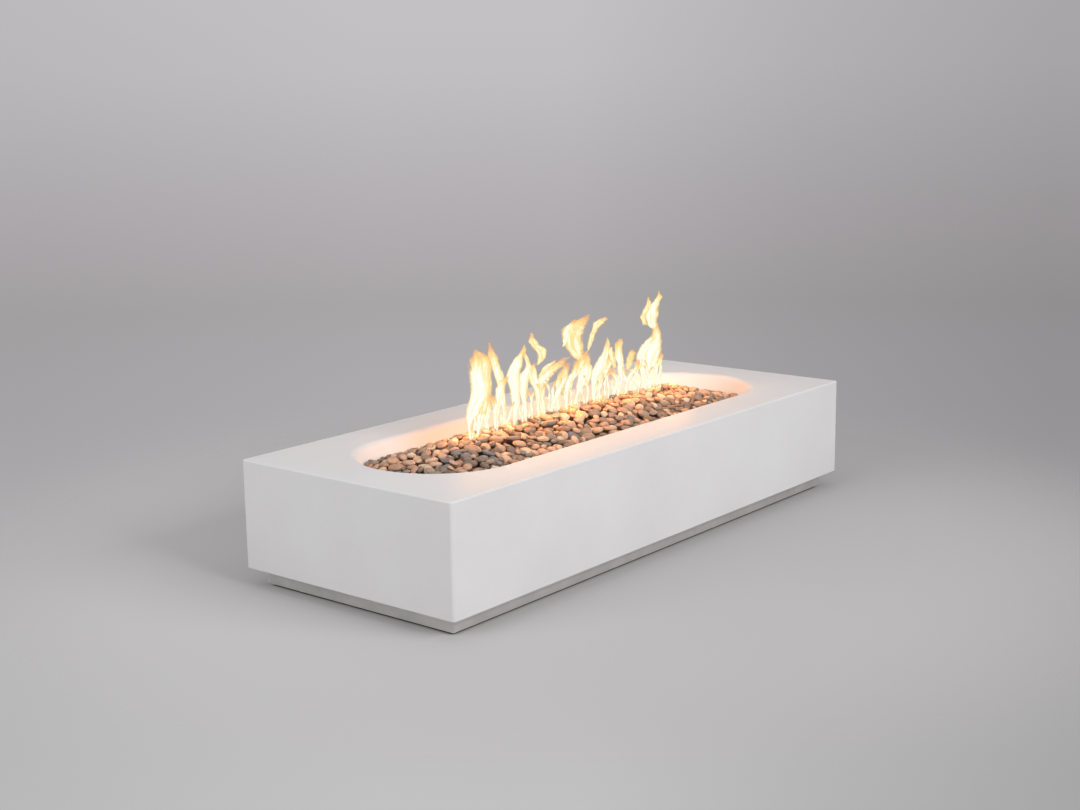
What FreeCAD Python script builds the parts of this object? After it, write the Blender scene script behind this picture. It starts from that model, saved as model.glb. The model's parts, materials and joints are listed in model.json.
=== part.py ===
"""Long low fire pit table: a concrete casting with an oblong bowl of river pebbles,
a straight gas burner under the pebbles, and a set-back steel plinth on levelling feet.

The origin is the middle of the footprint on the floor, X runs along the table, Y across it
and Z up. All lengths are millimetres and all angles degrees.
"""
import FreeCAD, Part
import math
import os
import random

import Sketcher
from FreeCAD import Placement, Rotation, Vector

# Driving dimensions: name, value, meaning
SIZES = (
    ("length", 1830, "table length, 72 inches"),
    ("width", 735, "table width, 29 inches"),
    ("body_height", 295, "height of the concrete casting"),
    ("corner_radius", 9, "upright corners of the casting"),
    ("edge_radius", 4, "top and bottom edges of the casting"),
    ("shell_wall", 22, "side walls of the casting"),
    ("top_thickness", 25, "top of the casting round the bowl"),
    ("lip_width", 75, "turned-in lip at the foot of the walls, from the outer face"),
    ("lip_thickness", 22, "thickness of that lip"),
    ("rim_margin", 128, "flat top between the outer edge and the bowl's rolled rim"),
    ("rim_radius", 22, "roll of the bowl's rim"),
    ("wall_slope", 30, "lean of the bowl's wall from upright"),
    ("bowl_depth", 100, "rim plane to the bowl's floor"),
    ("bowl_wall", 22, "thickness of the bowl's wall and floor"),
    ("crest_height", 20, "pebbles' crest above the rim plane"),
    ("crest_width", 14, "flat along the top of the fill under the crest"),
    ("crest_left", 366, "reach of the level crest towards -X"),
    ("crest_right", 494, "reach of the level crest towards +X"),
    ("side_slope", 20, "fall of the heap towards the long sides"),
    ("left_slope", 10.5, "fall of the heap towards -X"),
    ("right_slope", 15, "fall of the heap towards +X"),
    ("pebble_pitch", 47, "spacing of the pebbles"),
    ("pebble_reach", 23, "largest half length of a pebble"),
    ("pebble_depth", 12, "largest half thickness of a pebble"),
    ("loose_gap", 0.3, "clearance between loose pieces and what they lie on"),
    ("pan_width", 160, "burner pan's trough"),
    ("pan_depth", 58, "burner pan's trough inside"),
    ("pan_sheet", 2, "burner pan's sheet"),
    ("pan_flange", 30, "width of the pan's flange"),
    ("pan_play", 2, "room between the trough and the cut-out in the bowl's floor"),
    ("gasket", 2, "thickness of the pan's gasket"),
    ("burner_length", 900, "burner tube"),
    ("burner_radius", 12.7, "burner tube outside"),
    ("burner_wall", 1.5, "burner tube wall"),
    ("burner_lift", 30, "burner axis above the pan's floor"),
    ("port_radius", 1.3, "burner ports"),
    ("port_pitch", 25, "spacing of the burner ports"),
    ("port_margin", 25, "first port from the end of the burner"),
    ("burner_end_room", 50, "burner's end to the end of the pan"),
    ("saddle_length", 20, "burner's saddles along the tube"),
    ("saddle_margin", 4, "burner's saddles beyond the tube's sides"),
    ("stub_radius", 10.6, "threaded stub under the burner"),
    ("stub_bore", 7.8, "gas way of the stub, elbow and mixer"),
    ("stub_drop", 39, "stub below the pan"),
    ("stub_grip", 13, "stub's length in the elbow"),
    ("stub_nut_flats", 32, "stub's nuts across flats"),
    ("stub_nut_height", 6, "stub's nuts"),
    ("elbow_radius", 15, "outside of the elbow"),
    ("elbow_reach", 28, "elbow's axis to its outlet face"),
    ("mixer_radius", 13, "air mixer outside"),
    ("mixer_length", 80, "air mixer"),
    ("window_length", 22, "air windows of the mixer"),
    ("window_height", 9, "air windows of the mixer"),
    ("orifice_length", 14, "hexagon of the gas orifice"),
    ("orifice_flats", 19, "hexagon of the gas orifice across flats"),
    ("orifice_spigot", 10, "orifice's spigot in the mixer"),
    ("jet_radius", 1, "jet of the gas orifice"),
    ("hose_radius", 6, "gas hoses outside"),
    ("hose_bore", 4, "gas hoses inside"),
    ("cable_radius", 2.5, "spark cable"),
    ("lead_radius", 1.5, "thermocouple lead"),
    ("fit_gap", 0.2, "radial clearance of fixed round fits"),
    ("floor_play", 0.4, "radial clearance of what passes through the pan's floor"),
    ("running_gap", 0.05, "radial clearance of moving round fits"),
    ("sensor_x", -100, "spark electrode along the table"),
    ("sensor_y", 45, "spark electrode across the table"),
    ("sensor_spacing", 36, "electrode to thermocouple"),
    ("insulator_radius", 4, "ceramic of the electrode"),
    ("insulator_drop", 13, "ceramic below the pan"),
    ("insulator_height", 41, "ceramic above the pan's floor"),
    ("thermo_radius", 3, "thermocouple tip"),
    ("thermo_height", 44, "thermocouple tip above the pan's floor"),
    ("thermo_drop", 6, "thermocouple below the pan"),
    ("sensor_collar", 2, "collars of electrode and thermocouple beyond their rods"),
    ("sensor_collar_height", 4, "collars of electrode and thermocouple"),
    ("wire_radius", 1, "electrode's wire"),
    ("wire_rise", 10, "electrode's wire above its ceramic"),
    ("spark_gap", 5, "electrode's wire to the burner"),
    ("bracket_sheet", 2, "sensors' bracket"),
    ("bracket_margin", 15, "sensors' bracket beyond their axes"),
    ("bracket_depth", 30, "sensors' bracket across the table"),
    ("bracket_front", 10, "sensors' bracket in front of their axes"),
    ("bracket_height", 26, "sensors' bracket"),
    ("fill_end_gap", 8, "fill clear of the burner's ends"),
    ("fill_side_gap", 9, "fill clear of the burner's sides"),
    ("fill_top_gap", 6, "fill clear of the burner's top"),
    ("sensor_end_gap", 22, "fill clear of the sensors along the table"),
    ("sensor_back_gap", 26, "fill clear of the sensors across the table"),
    ("sensor_top_gap", 14, "fill clear of the sensors' tips"),
    ("screw_gap", 1, "fill clear of the screws' heads"),
    ("pebble_edge", 63.5, "outermost row of pebbles to the bowl's mouth"),
    ("control_inset", 435, "middle of the control panel from the table's end"),
    ("control_height", 175, "middle of the control panel above the floor"),
    ("niche_length", 180, "recess for the controls"),
    ("niche_height", 80, "recess for the controls"),
    ("niche_depth", 34, "recess for the controls"),
    ("niche_sheet", 1.5, "sheet of the recess"),
    ("niche_flange", 10, "flange round the recess"),
    ("niche_corner", 8, "corner radius of the recess"),
    ("niche_gasket", 1, "gasket behind the flange"),
    ("niche_play", 2, "room between the recess and the hole in the wall"),
    ("flange_inset", 2, "flange face behind the wall's face"),
    ("knob_offset", 38, "knob from the panel's middle"),
    ("igniter_offset", 48, "igniter from the panel's middle"),
    ("knob_radius", 22, "knob"),
    ("knob_skirt", 11, "length of the knob's round skirt"),
    ("knob_grip", 9, "height of the knob's grip bar"),
    ("knob_bar", 8, "width of the knob's grip bar"),
    ("knob_inset", 5, "knob's front behind the wall's face"),
    ("knob_push", 5, "push travel of the knob"),
    ("knob_rim", 1, "knob's edge beyond its grip bar"),
    ("knob_softness", 1.5, "rounded edges of the knob"),
    ("stem_radius", 4, "valve stem"),
    ("collar_radius", 8, "thrust collar on the stem"),
    ("collar_length", 4, "thrust collar"),
    ("collar_depth", 16, "thrust collar behind the valve's front"),
    ("stem_tail", 12, "stem behind the front of its collar"),
    ("shoulder_radius", 6, "shoulder of the stem"),
    ("shoulder_length", 3, "shoulder of the stem"),
    ("neck_radius", 9, "threaded neck of the valve"),
    ("neck_proud", 1.5, "valve's neck in front of its nut"),
    ("valve_standoff", 6, "valve block behind the panel"),
    ("valve_width", 46, "valve block along the table"),
    ("valve_depth", 54, "valve block across the table"),
    ("valve_height", 60, "valve block"),
    ("valve_cover", 6, "valve block in front of its chamber"),
    ("valve_wall", 5, "valve block behind its chamber"),
    ("port_stub_radius", 9, "hose connections of the valve"),
    ("port_stub_length", 12, "hose connections of the valve"),
    ("port_drop", 18, "hose connections of the valve below the knob's axis"),
    ("sensor_port_radius", 4, "thermocouple's connection under the valve"),
    ("sensor_port_length", 6, "thermocouple's connection under the valve"),
    ("valve_nut_flats", 24, "valve's nut across flats"),
    ("igniter_nut_flats", 26, "igniter's nut across flats"),
    ("nut_thickness", 3.5, "thin nuts of the valve and the igniter"),
    ("barrel_radius", 10, "igniter barrel"),
    ("barrel_length", 50, "igniter barrel behind the panel"),
    ("bezel_radius", 13, "igniter bezel"),
    ("bezel_length", 2, "igniter bezel"),
    ("button_radius", 7, "igniter button"),
    ("button_height", 10, "igniter button in front of its bezel"),
    ("button_push", 5, "travel of the igniter button"),
    ("button_tail", 16, "button's length inside the barrel"),
    ("button_room", 2, "room behind the button when it is pushed"),
    ("button_softness", 1, "rounded edge of the button"),
    ("plinth_inset", 38, "plinth behind the casting's faces"),
    ("plinth_height", 40, "plinth skirt"),
    ("plinth_sheet", 3, "plinth skirt's sheet"),
    ("plinth_flange", 38, "plinth skirt's flanges"),
    ("mitre_gap", 0.2, "joint line at the plinth's corners"),
    ("strip_thickness", 3, "rubber strip between plinth and casting"),
    ("strip_width", 32, "rubber strip"),
    ("strip_gap", 1, "joint line at the ends of the short rubber strips"),
    ("member_width", 34, "cross members of the frame"),
    ("member_wall", 2, "wall of the cross members"),
    ("member_spacing", 420, "cross members along the table"),
    ("foot_gap", 7, "plinth above the floor"),
    ("foot_inset", 70, "foot's axis from the plinth's outer faces"),
    ("foot_pad_radius", 22, "levelling foot"),
    ("foot_pad_height", 9.7, "levelling foot"),
    ("foot_socket", 6, "depth of the stud's seat in the foot"),
    ("foot_rim", 3, "upright rim of the levelling foot"),
    ("foot_wall", 5, "levelling foot round its stud"),
    ("foot_travel", 20, "levelling travel"),
    ("foot_stud_radius", 6, "foot stud, M12"),
    ("stud_spare", 6, "foot stud above its nut beyond the travel"),
    ("drive_flats", 6, "hexagon socket in the top of a foot stud"),
    ("drive_depth", 6, "hexagon socket in the top of a foot stud"),
    ("gusset_size", 112, "foot gusset"),
    ("gusset_thickness", 5, "foot gusset"),
    ("foot_nut_flats", 19, "foot nut across flats"),
    ("foot_nut_height", 10, "foot nut"),
    ("bolt_radius", 4, "bolts into the casting, M8"),
    ("bolt_play", 0.5, "room round a bolt in its hole"),
    ("bolt_head_flats", 13, "bolt head across flats"),
    ("bolt_head_height", 5.3, "bolt head"),
    ("bolt_length", 22, "bolt under its head"),
    ("washer_radius", 8, "washer"),
    ("washer_thickness", 1.6, "washer"),
    ("insert_radius", 7, "cast-in insert"),
    ("insert_length", 18, "cast-in insert"),
    ("insert_room", 1, "hole above a cast-in insert"),
    ("bolt_outer_x", 620, "outer bolts along the table"),
    ("bolt_inner_x", 210, "inner bolts along the table"),
    ("inlet_inset", 177, "gas inlet from the plinth's end"),
    ("inlet_thread_radius", 7.94, "gas inlet's outer thread, 5/8 inch flare"),
    ("inlet_thread_length", 18, "gas inlet's outer thread"),
    ("inlet_body_radius", 10, "gas inlet's body through the plinth"),
    ("inlet_hex_flats", 24, "gas inlet's hexagon"),
    ("inlet_hex_length", 6, "gas inlet's hexagon"),
    ("inlet_body_length", 17, "gas inlet's body behind its hexagon"),
    ("inlet_tail_length", 12, "gas inlet's hose tail"),
    ("inlet_tail_margin", 1, "gas inlet's hose tail beyond the hose"),
    ("inlet_nut_flats", 27, "gas inlet's nut across flats"),
    ("inlet_nut_height", 6, "gas inlet's nut"),
    ("screw_radius", 2.2, "small screws"),
    ("screw_head_radius", 4, "small screws' heads"),
    ("screw_head_height", 2, "small screws' heads"),
    ("screw_length", 14, "small screws"),
    ("drain_radius", 7, "rain drain of the pan"),
    ("drain_bore", 5, "rain drain of the pan"),
    ("drain_drop", 24, "rain drain below the pan"),
    ("drain_collar", 5, "rain drain's collar beyond its wall"),
    ("drain_inset", 80, "rain drain from the pan's end"),
)

# Hoses and leads: the bends of each as a place and an offset from it in x, y and z
ROUTES = {
    "supply_hose": (
        ("inlet", 0, 0, 0), ("inlet", 0, -62, 0), ("inlet", 20, -112, 48),
        ("supply_port", -89, -70, -30), ("supply_port", -51, 0, 0), ("supply_port", 0, 0, 0)),
    "burner_hose": (
        ("burner_port", 0, 0, 0), ("burner_port", 80, 0, 0), ("halfway", 40, -14, 8),
        ("under_burner", -70, -36, 0), ("orifice", 0, 74, 0), ("orifice", 0, 0, 0)),
    "spark_cable": (
        ("igniter", 0, 0, 0), ("igniter", 0, -44, 0), ("below_igniter", 40, -90, 16),
        ("below_electrode", -150, 62, -18), ("below_electrode", -46, 14, -24),
        ("below_electrode", 0, 0, 0), ("electrode", 0, 0, 0)),
    "thermocouple_lead": (
        ("sensor_port", 0, 0, 0), ("sensor_port", 0, 0, -40), ("below_valve", 46, -40, -56),
        ("below_electrode", -140, 90, -60), ("below_thermocouple", -40, 16, -50),
        ("below_thermocouple", 0, 0, -16), ("thermocouple", 0, 0, 0)),
}
BEND_SHARE = 0.45

# Pebbles: least and greatest share of the full size, and how many of each colour in eleven
PEBBLE_LENGTHS = (0.82, 1.0)
PEBBLE_WIDTHS = (0.7, 0.86)
PEBBLE_DEPTHS = (0.8, 1.0)
PEBBLE_COLOURS = {"pebbles_grey": 5, "pebbles_brown": 3, "pebbles_buff": 3}
PEBBLE_SEED = 7

# Places worked out from the sizes, kept as expressions so that they follow every change
PLINTH_TOP = "(Sizes.foot_gap + Sizes.plinth_height)"
BODY_BASE = f"({PLINTH_TOP} + Sizes.strip_thickness)"
BODY_TOP = f"({BODY_BASE} + Sizes.body_height)"
BOWL_FLOOR = f"({BODY_TOP} - Sizes.bowl_depth)"
BOWL_STRAIGHT = "((Sizes.length - Sizes.width) / 2)"
RIM_TANGENT = "(Sizes.rim_radius * tan((90 - Sizes.wall_slope) / 2))"
MOUTH_RADIUS = f"(Sizes.width / 2 - Sizes.rim_margin - {RIM_TANGENT})"
FLANGE_TOP = f"({BOWL_FLOOR} + Sizes.gasket + Sizes.pan_sheet)"
PAN_FLOOR = f"({FLANGE_TOP} - Sizes.pan_depth)"
PAN_UNDER = f"({PAN_FLOOR} - Sizes.pan_sheet)"
BURNER_AXIS = f"({PAN_FLOOR} + Sizes.burner_lift)"
STUB_END = f"({PAN_UNDER} - Sizes.stub_drop)"
ELBOW_AXIS = f"({STUB_END} - Sizes.elbow_radius)"
MIXER_END = "(Sizes.elbow_reach + Sizes.mixer_length)"
ORIFICE_END = f"({MIXER_END} + Sizes.orifice_length)"
PAN_LENGTH = "(Sizes.burner_length + 2 * Sizes.burner_end_room)"
DRAIN_X = f"({PAN_LENGTH} / 2 - Sizes.drain_inset)"
THERMO_X = "(Sizes.sensor_x + Sizes.sensor_spacing)"
FILL_BASE = f"({FLANGE_TOP} + Sizes.loose_gap)"
FILL_CREST = f"({BODY_TOP} + Sizes.crest_height - 2 * Sizes.pebble_depth)"
BACK_FACE = "(Sizes.width / 2)"
NICHE_FACE = f"({BACK_FACE} - Sizes.flange_inset)"
NICHE_SEAT = f"({NICHE_FACE} - Sizes.niche_sheet - Sizes.niche_gasket)"
NICHE_BACK = f"({NICHE_FACE} - Sizes.niche_depth)"
PANEL_REAR = f"({NICHE_BACK} - Sizes.niche_sheet)"
CONTROL_X = "(Sizes.control_inset - Sizes.length / 2)"
KNOB_X = f"({CONTROL_X} - Sizes.knob_offset)"
IGNITER_X = f"({CONTROL_X} + Sizes.igniter_offset)"
IGNITER_REAR = f"({NICHE_BACK} - Sizes.barrel_length)"
KNOB_FRONT = f"({BACK_FACE} - Sizes.knob_inset)"
KNOB_REAR = f"({KNOB_FRONT} - Sizes.knob_grip - Sizes.knob_skirt)"
VALVE_FRONT = f"({PANEL_REAR} - Sizes.valve_standoff)"
NECK_LENGTH = ("(Sizes.valve_standoff + Sizes.niche_sheet + Sizes.nut_thickness"
               " + Sizes.neck_proud)")
VALVE_REAR = f"({VALVE_FRONT} - Sizes.valve_depth)"
VALVE_MIDDLE = f"({VALVE_FRONT} - Sizes.valve_depth / 2)"
VALVE_UNDER = "(Sizes.control_height - Sizes.valve_height / 2 - Sizes.sensor_port_length)"
PORT_REACH = "(Sizes.valve_width / 2 + Sizes.port_stub_length)"
PORT_Z = "(Sizes.control_height - Sizes.port_drop)"
COLLAR_FRONT = f"({VALVE_FRONT} - Sizes.collar_depth)"
BUTTON_FRONT = f"({NICHE_BACK} + Sizes.bezel_length + Sizes.button_height)"
PLINTH_X = "(Sizes.length / 2 - Sizes.plinth_inset)"
PLINTH_Y = "(Sizes.width / 2 - Sizes.plinth_inset)"
FRAME_X = f"({PLINTH_X} - Sizes.plinth_sheet)"
FRAME_Y = f"({PLINTH_Y} - Sizes.plinth_sheet)"
GUSSET_BASE = "(Sizes.foot_gap + Sizes.plinth_sheet)"
GUSSET_TOP = f"({GUSSET_BASE} + Sizes.gusset_thickness)"
FOOT_X = f"({PLINTH_X} - Sizes.foot_inset)"
FOOT_Y = f"({PLINTH_Y} - Sizes.foot_inset)"
INLET_X = f"(Sizes.inlet_inset - {PLINTH_X})"
INLET_Z = "(Sizes.foot_gap + Sizes.plinth_height / 2)"
INLET_TAIL = f"({PLINTH_Y} - Sizes.inlet_body_length - Sizes.inlet_tail_length)"

AXES = {
    "X": Rotation(Vector(0, 1, 0), 90),
    "Y": Rotation(Vector(1, 0, 0), -90),
    "Z": Rotation(),
}
NIL = 1e-9
CLOSE = 1e-4
TUBE_TOLERANCE = 0.01

doc = FreeCAD.newDocument("FirePitTable")
sheet = doc.addObject("Spreadsheet::Sheet", "Sizes")
for row, (alias, number, meaning) in enumerate(SIZES, start=1):
    sheet.set(f"A{row}", meaning)
    sheet.set(f"B{row}", str(number))
    sheet.setAlias(f"B{row}", alias)
doc.recompute()

nodes = []


def value(expression):
    """The number that an expression of sizes gives now."""
    return float(sheet.evalExpression(str(expression)))


def keep(feature):
    """Lists a finished sub-part, whose label names its file."""
    nodes.append(feature)
    return feature


def place(feature, x, y, z, rotation=None):
    """Puts a feature at expressions of sizes."""
    feature.Placement = Placement(Vector(), rotation or Rotation())
    for axis, expression in zip("xyz", (x, y, z)):
        feature.setExpression(f"Placement.Base.{axis}", str(expression))
    return feature


def bind(feature, **sizes):
    """Ties a feature's properties to expressions of sizes."""
    for key, expression in sizes.items():
        feature.setExpression(key, str(expression))
    return feature


def block(name, length, width, height, x="0", y="0", z="0"):
    """A box centred on x and y that stands on z."""
    feature = bind(doc.addObject("Part::Box", name), Length=length, Width=width, Height=height)
    return place(feature, f"{x} - ({length}) / 2", f"{y} - ({width}) / 2", z)


def rod(name, radius, length, x="0", y="0", z="0", axis="Z"):
    """A cylinder that starts at a point and runs along a positive axis."""
    feature = bind(doc.addObject("Part::Cylinder", name), Radius=radius, Height=length)
    return place(feature, x, y, z, AXES[axis])


def hexagon(name, flats, length, x="0", y="0", z="0", axis="Z"):
    """A hexagonal bar that starts at a point and runs along a positive axis."""
    feature = doc.addObject("Part::Prism", name)
    feature.Polygon = 6
    bind(feature, Circumradius=f"({flats}) / 2 / cos(30)", Height=length)
    return place(feature, x, y, z, AXES[axis])


def fuse(name, *parts):
    """One solid made of several."""
    feature = doc.addObject("Part::MultiFuse", name)
    feature.Shapes = list(parts)
    return feature


def group(name, parts):
    """Several separate solids in one sub-part."""
    feature = doc.addObject("Part::Compound", name)
    feature.Links = list(parts)
    return feature


def cut(name, base, *tools):
    """A solid less one or more tools."""
    feature = doc.addObject("Part::Cut", name)
    feature.Base = base
    feature.Tool = tools[0] if len(tools) == 1 else group(f"{name}_tools", tools)
    return feature


def pipe(name, outer, inner, length, x="0", y="0", z="0", axis="Z"):
    """A round tube or ring that starts at a point and runs along a positive axis."""
    wall = rod(f"{name}_wall", outer, length, x, y, z, axis)
    return cut(name, wall, rod(f"{name}_bore", inner, length, x, y, z, axis))


def sketch_on(body, name, role, offset="0"):
    """An empty sketch of a body on one of its own origin planes, moved along its normal."""
    sketch = body.newObject("Sketcher::SketchObject", name)
    plane = next(item for item in body.Origin.OriginFeatures if item.Role == role)
    sketch.AttachmentSupport = (plane, [""])
    sketch.MapMode = "FlatFace"
    sketch.setExpression("AttachmentOffset.Base.z", str(offset))
    return sketch


def pin(sketch, curve, vertex, x, y):
    """Ties a point of a sketch to two expressions."""
    for kind, axis, expression in (("DistanceX", -2, x), ("DistanceY", -1, y)):
        number = value(expression)
        if abs(number) < NIL:
            sketch.addConstraint(Sketcher.Constraint("PointOnObject", curve, vertex, axis))
            continue
        index = sketch.addConstraint(
            Sketcher.Constraint(kind, -1, 1, curve, vertex, number))
        sketch.setExpression(f"Constraints[{index}]", str(expression))


def add_polygon(sketch, corners):
    """A closed outline whose corners are pairs of expressions."""
    first = sketch.GeometryCount
    points = [Vector(value(x), value(y), 0) for x, y in corners]
    count = len(points)
    sketch.addGeometry(
        [Part.LineSegment(points[i], points[(i + 1) % count]) for i in range(count)], False)
    sketch.addConstraint([
        Sketcher.Constraint("Coincident", first + i, 2, first + (i + 1) % count, 1)
        for i in range(count)])
    for i, (x, y) in enumerate(corners):
        pin(sketch, first + i, 1, x, y)


def add_rectangle(sketch, length, width, x="0", y="0"):
    """A rectangle about a centre."""
    left, right = f"{x} - ({length}) / 2", f"{x} + ({length}) / 2"
    low, high = f"{y} - ({width}) / 2", f"{y} + ({width}) / 2"
    add_polygon(sketch, [(left, low), (right, low), (right, high), (left, high)])


def add_circle(sketch, radius, x="0", y="0"):
    """A circle about a centre."""
    curve = sketch.addGeometry(
        Part.Circle(Vector(value(x), value(y), 0), Vector(0, 0, 1), value(radius)), False)
    pin(sketch, curve, 3, x, y)
    index = sketch.addConstraint(Sketcher.Constraint("Radius", curve, value(radius)))
    sketch.setExpression(f"Constraints[{index}]", str(radius))


def add_slot(sketch, straight, radius, upright=False):
    """An oblong with round ends; straight is half the distance between their centres."""
    reach, bend = value(straight), value(radius)
    along, across = (Vector(0, 1, 0), Vector(-1, 0, 0)) if upright else (
        Vector(1, 0, 0), Vector(0, 1, 0))
    turn = math.pi / 2 if upright else 0
    first = sketch.GeometryCount
    up = Vector(0, 0, 1)
    sketch.addGeometry([
        Part.ArcOfCircle(Part.Circle(along * reach, up, bend),
                         turn - math.pi / 2, turn + math.pi / 2),
        Part.LineSegment(along * reach + across * bend, across * bend - along * reach),
        Part.ArcOfCircle(Part.Circle(along * -reach, up, bend),
                         turn + math.pi / 2, turn + 3 * math.pi / 2),
        Part.LineSegment(along * -reach - across * bend, along * reach - across * bend),
    ], False)
    sketch.addConstraint([
        Sketcher.Constraint("Tangent", first + i, 2, first + (i + 1) % 4, 1) for i in range(4)])
    sketch.addConstraint(Sketcher.Constraint("Equal", first, first + 2))
    for curve, sign in ((first, ""), (first + 2, "-")):
        spot = f"{sign}({straight})"
        pin(sketch, curve, 3, *(("0", spot) if upright else (spot, "0")))
    index = sketch.addConstraint(Sketcher.Constraint("Radius", first, bend))
    sketch.setExpression(f"Constraints[{index}]", str(radius))


def shape_volume(body):
    """Volume of a body as it stands."""
    doc.recompute()
    return body.Shape.Volume if not body.Shape.isNull() else 0.0


def extrude(body, kind, name, sketch, length, reverse=False, middle=False):
    """A pad or pocket of a sketch, checked to add or take away material."""
    before = shape_volume(body)
    feature = body.newObject(f"PartDesign::{kind}", name)
    feature.Profile = sketch
    feature.Reversed = reverse
    if middle:
        feature.SideType = "Symmetric"
    feature.setExpression("Length", str(length))
    change = shape_volume(body) - before
    if (change > 0) != (kind == "Pad"):
        raise ValueError(f"{body.Name}: {name} changed the volume by {change:.1f}")
    return feature


def loft(body, kind, name, lower, upper):
    """A straight-walled loft between two sketches."""
    before = shape_volume(body)
    feature = body.newObject(f"PartDesign::{kind}Loft", name)
    feature.Profile = lower
    feature.Sections = [upper]
    feature.Ruled = True
    change = shape_volume(body) - before
    if (change > 0) != (kind == "Additive"):
        raise ValueError(f"{body.Name}: {name} changed the volume by {change:.1f}")
    return feature


def revolve(body, name, sketch):
    """A full turn of a sketch about its upright axis."""
    feature = body.newObject("PartDesign::Revolution", name)
    feature.Profile = sketch
    feature.ReferenceAxis = (sketch, ["V_Axis"])
    feature.Angle = 360
    doc.recompute()
    return feature


def fillet(body, name, radius, picks):
    """Rounds the edges of the body's tip that a test picks."""
    doc.recompute()
    base = body.Tip
    edges = [f"Edge{i}" for i, edge in enumerate(base.Shape.Edges, start=1) if picks(edge)]
    feature = body.newObject("PartDesign::Fillet", name)
    feature.Base = (base, edges)
    feature.setExpression("Radius", str(radius))
    doc.recompute()
    return feature


def runs_along(edge, axis):
    """Whether an edge is straight and parallel to a direction."""
    if edge.Curve.TypeId != "Part::GeomLine":
        return False
    return abs(abs(edge.tangentAt(edge.FirstParameter).dot(axis)) - 1) < NIL


def lies_at(edge, axis, distance):
    """Whether both ends and the middle of an edge lie in a plane across an axis."""
    middle = edge.valueAt((edge.FirstParameter + edge.LastParameter) / 2)
    spots = [vertex.Point for vertex in edge.Vertexes] + [middle]
    return all(abs(spot.dot(axis) - distance) < CLOSE for spot in spots)


def bowl_radius(height):
    """Half width of the bowl inside at a height, as an expression."""
    return f"({MOUTH_RADIUS} - ({BODY_TOP} - {height}) * tan(Sizes.wall_slope))"


def mirrored(places):
    """The same places on both sides of the table's long middle plane."""
    return [(x, f"{sign}{y}") for x, y in places for sign in ("", "-")]


def opposed(place, distance):
    """A place moved by a distance towards the table's middle, whichever side it lies on."""
    return f"{place} {'+' if place.startswith('-') else '-'} {distance}"


PAN_SCREW_X = f"(({PAN_LENGTH} + Sizes.pan_flange) / 2)"
PAN_SCREW_Y = "((Sizes.pan_width + Sizes.pan_flange) / 2)"
PAN_SCREWS = [(PAN_SCREW_X, "0"), (f"-{PAN_SCREW_X}", "0")] + mirrored(
    [(f"{side} * {PAN_LENGTH} / 3", PAN_SCREW_Y) for side in (-1, 0, 1)])
BOLT_X = f"({PLINTH_X} - Sizes.plinth_flange / 2)"
BOLT_Y = f"({PLINTH_Y} - Sizes.plinth_flange / 2)"
LONG_BOLTS = [(f"{side}Sizes.{name}", BOLT_Y)
              for name in ("bolt_outer_x", "bolt_inner_x") for side in ("", "-")]
END_BOLTS = [(BOLT_X, "0"), (f"-{BOLT_X}", "0")]
BOLTS = mirrored(LONG_BOLTS) + END_BOLTS
NICHE_SCREW_X = "((Sizes.niche_length + Sizes.niche_flange) / 2)"
NICHE_SCREW_Z = "((Sizes.niche_height + Sizes.niche_flange) / 2)"
NICHE_SCREWS = [
    (f"{CONTROL_X} {a} {NICHE_SCREW_X}", f"Sizes.control_height {b} {NICHE_SCREW_Z}")
    for a in "+-" for b in "+-"]
FEET = [(f"{a}{FOOT_X}", f"{b}{FOOT_Y}")
        for a, b in (("-", "-"), ("", "-"), ("", ""), ("-", ""))]


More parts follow.
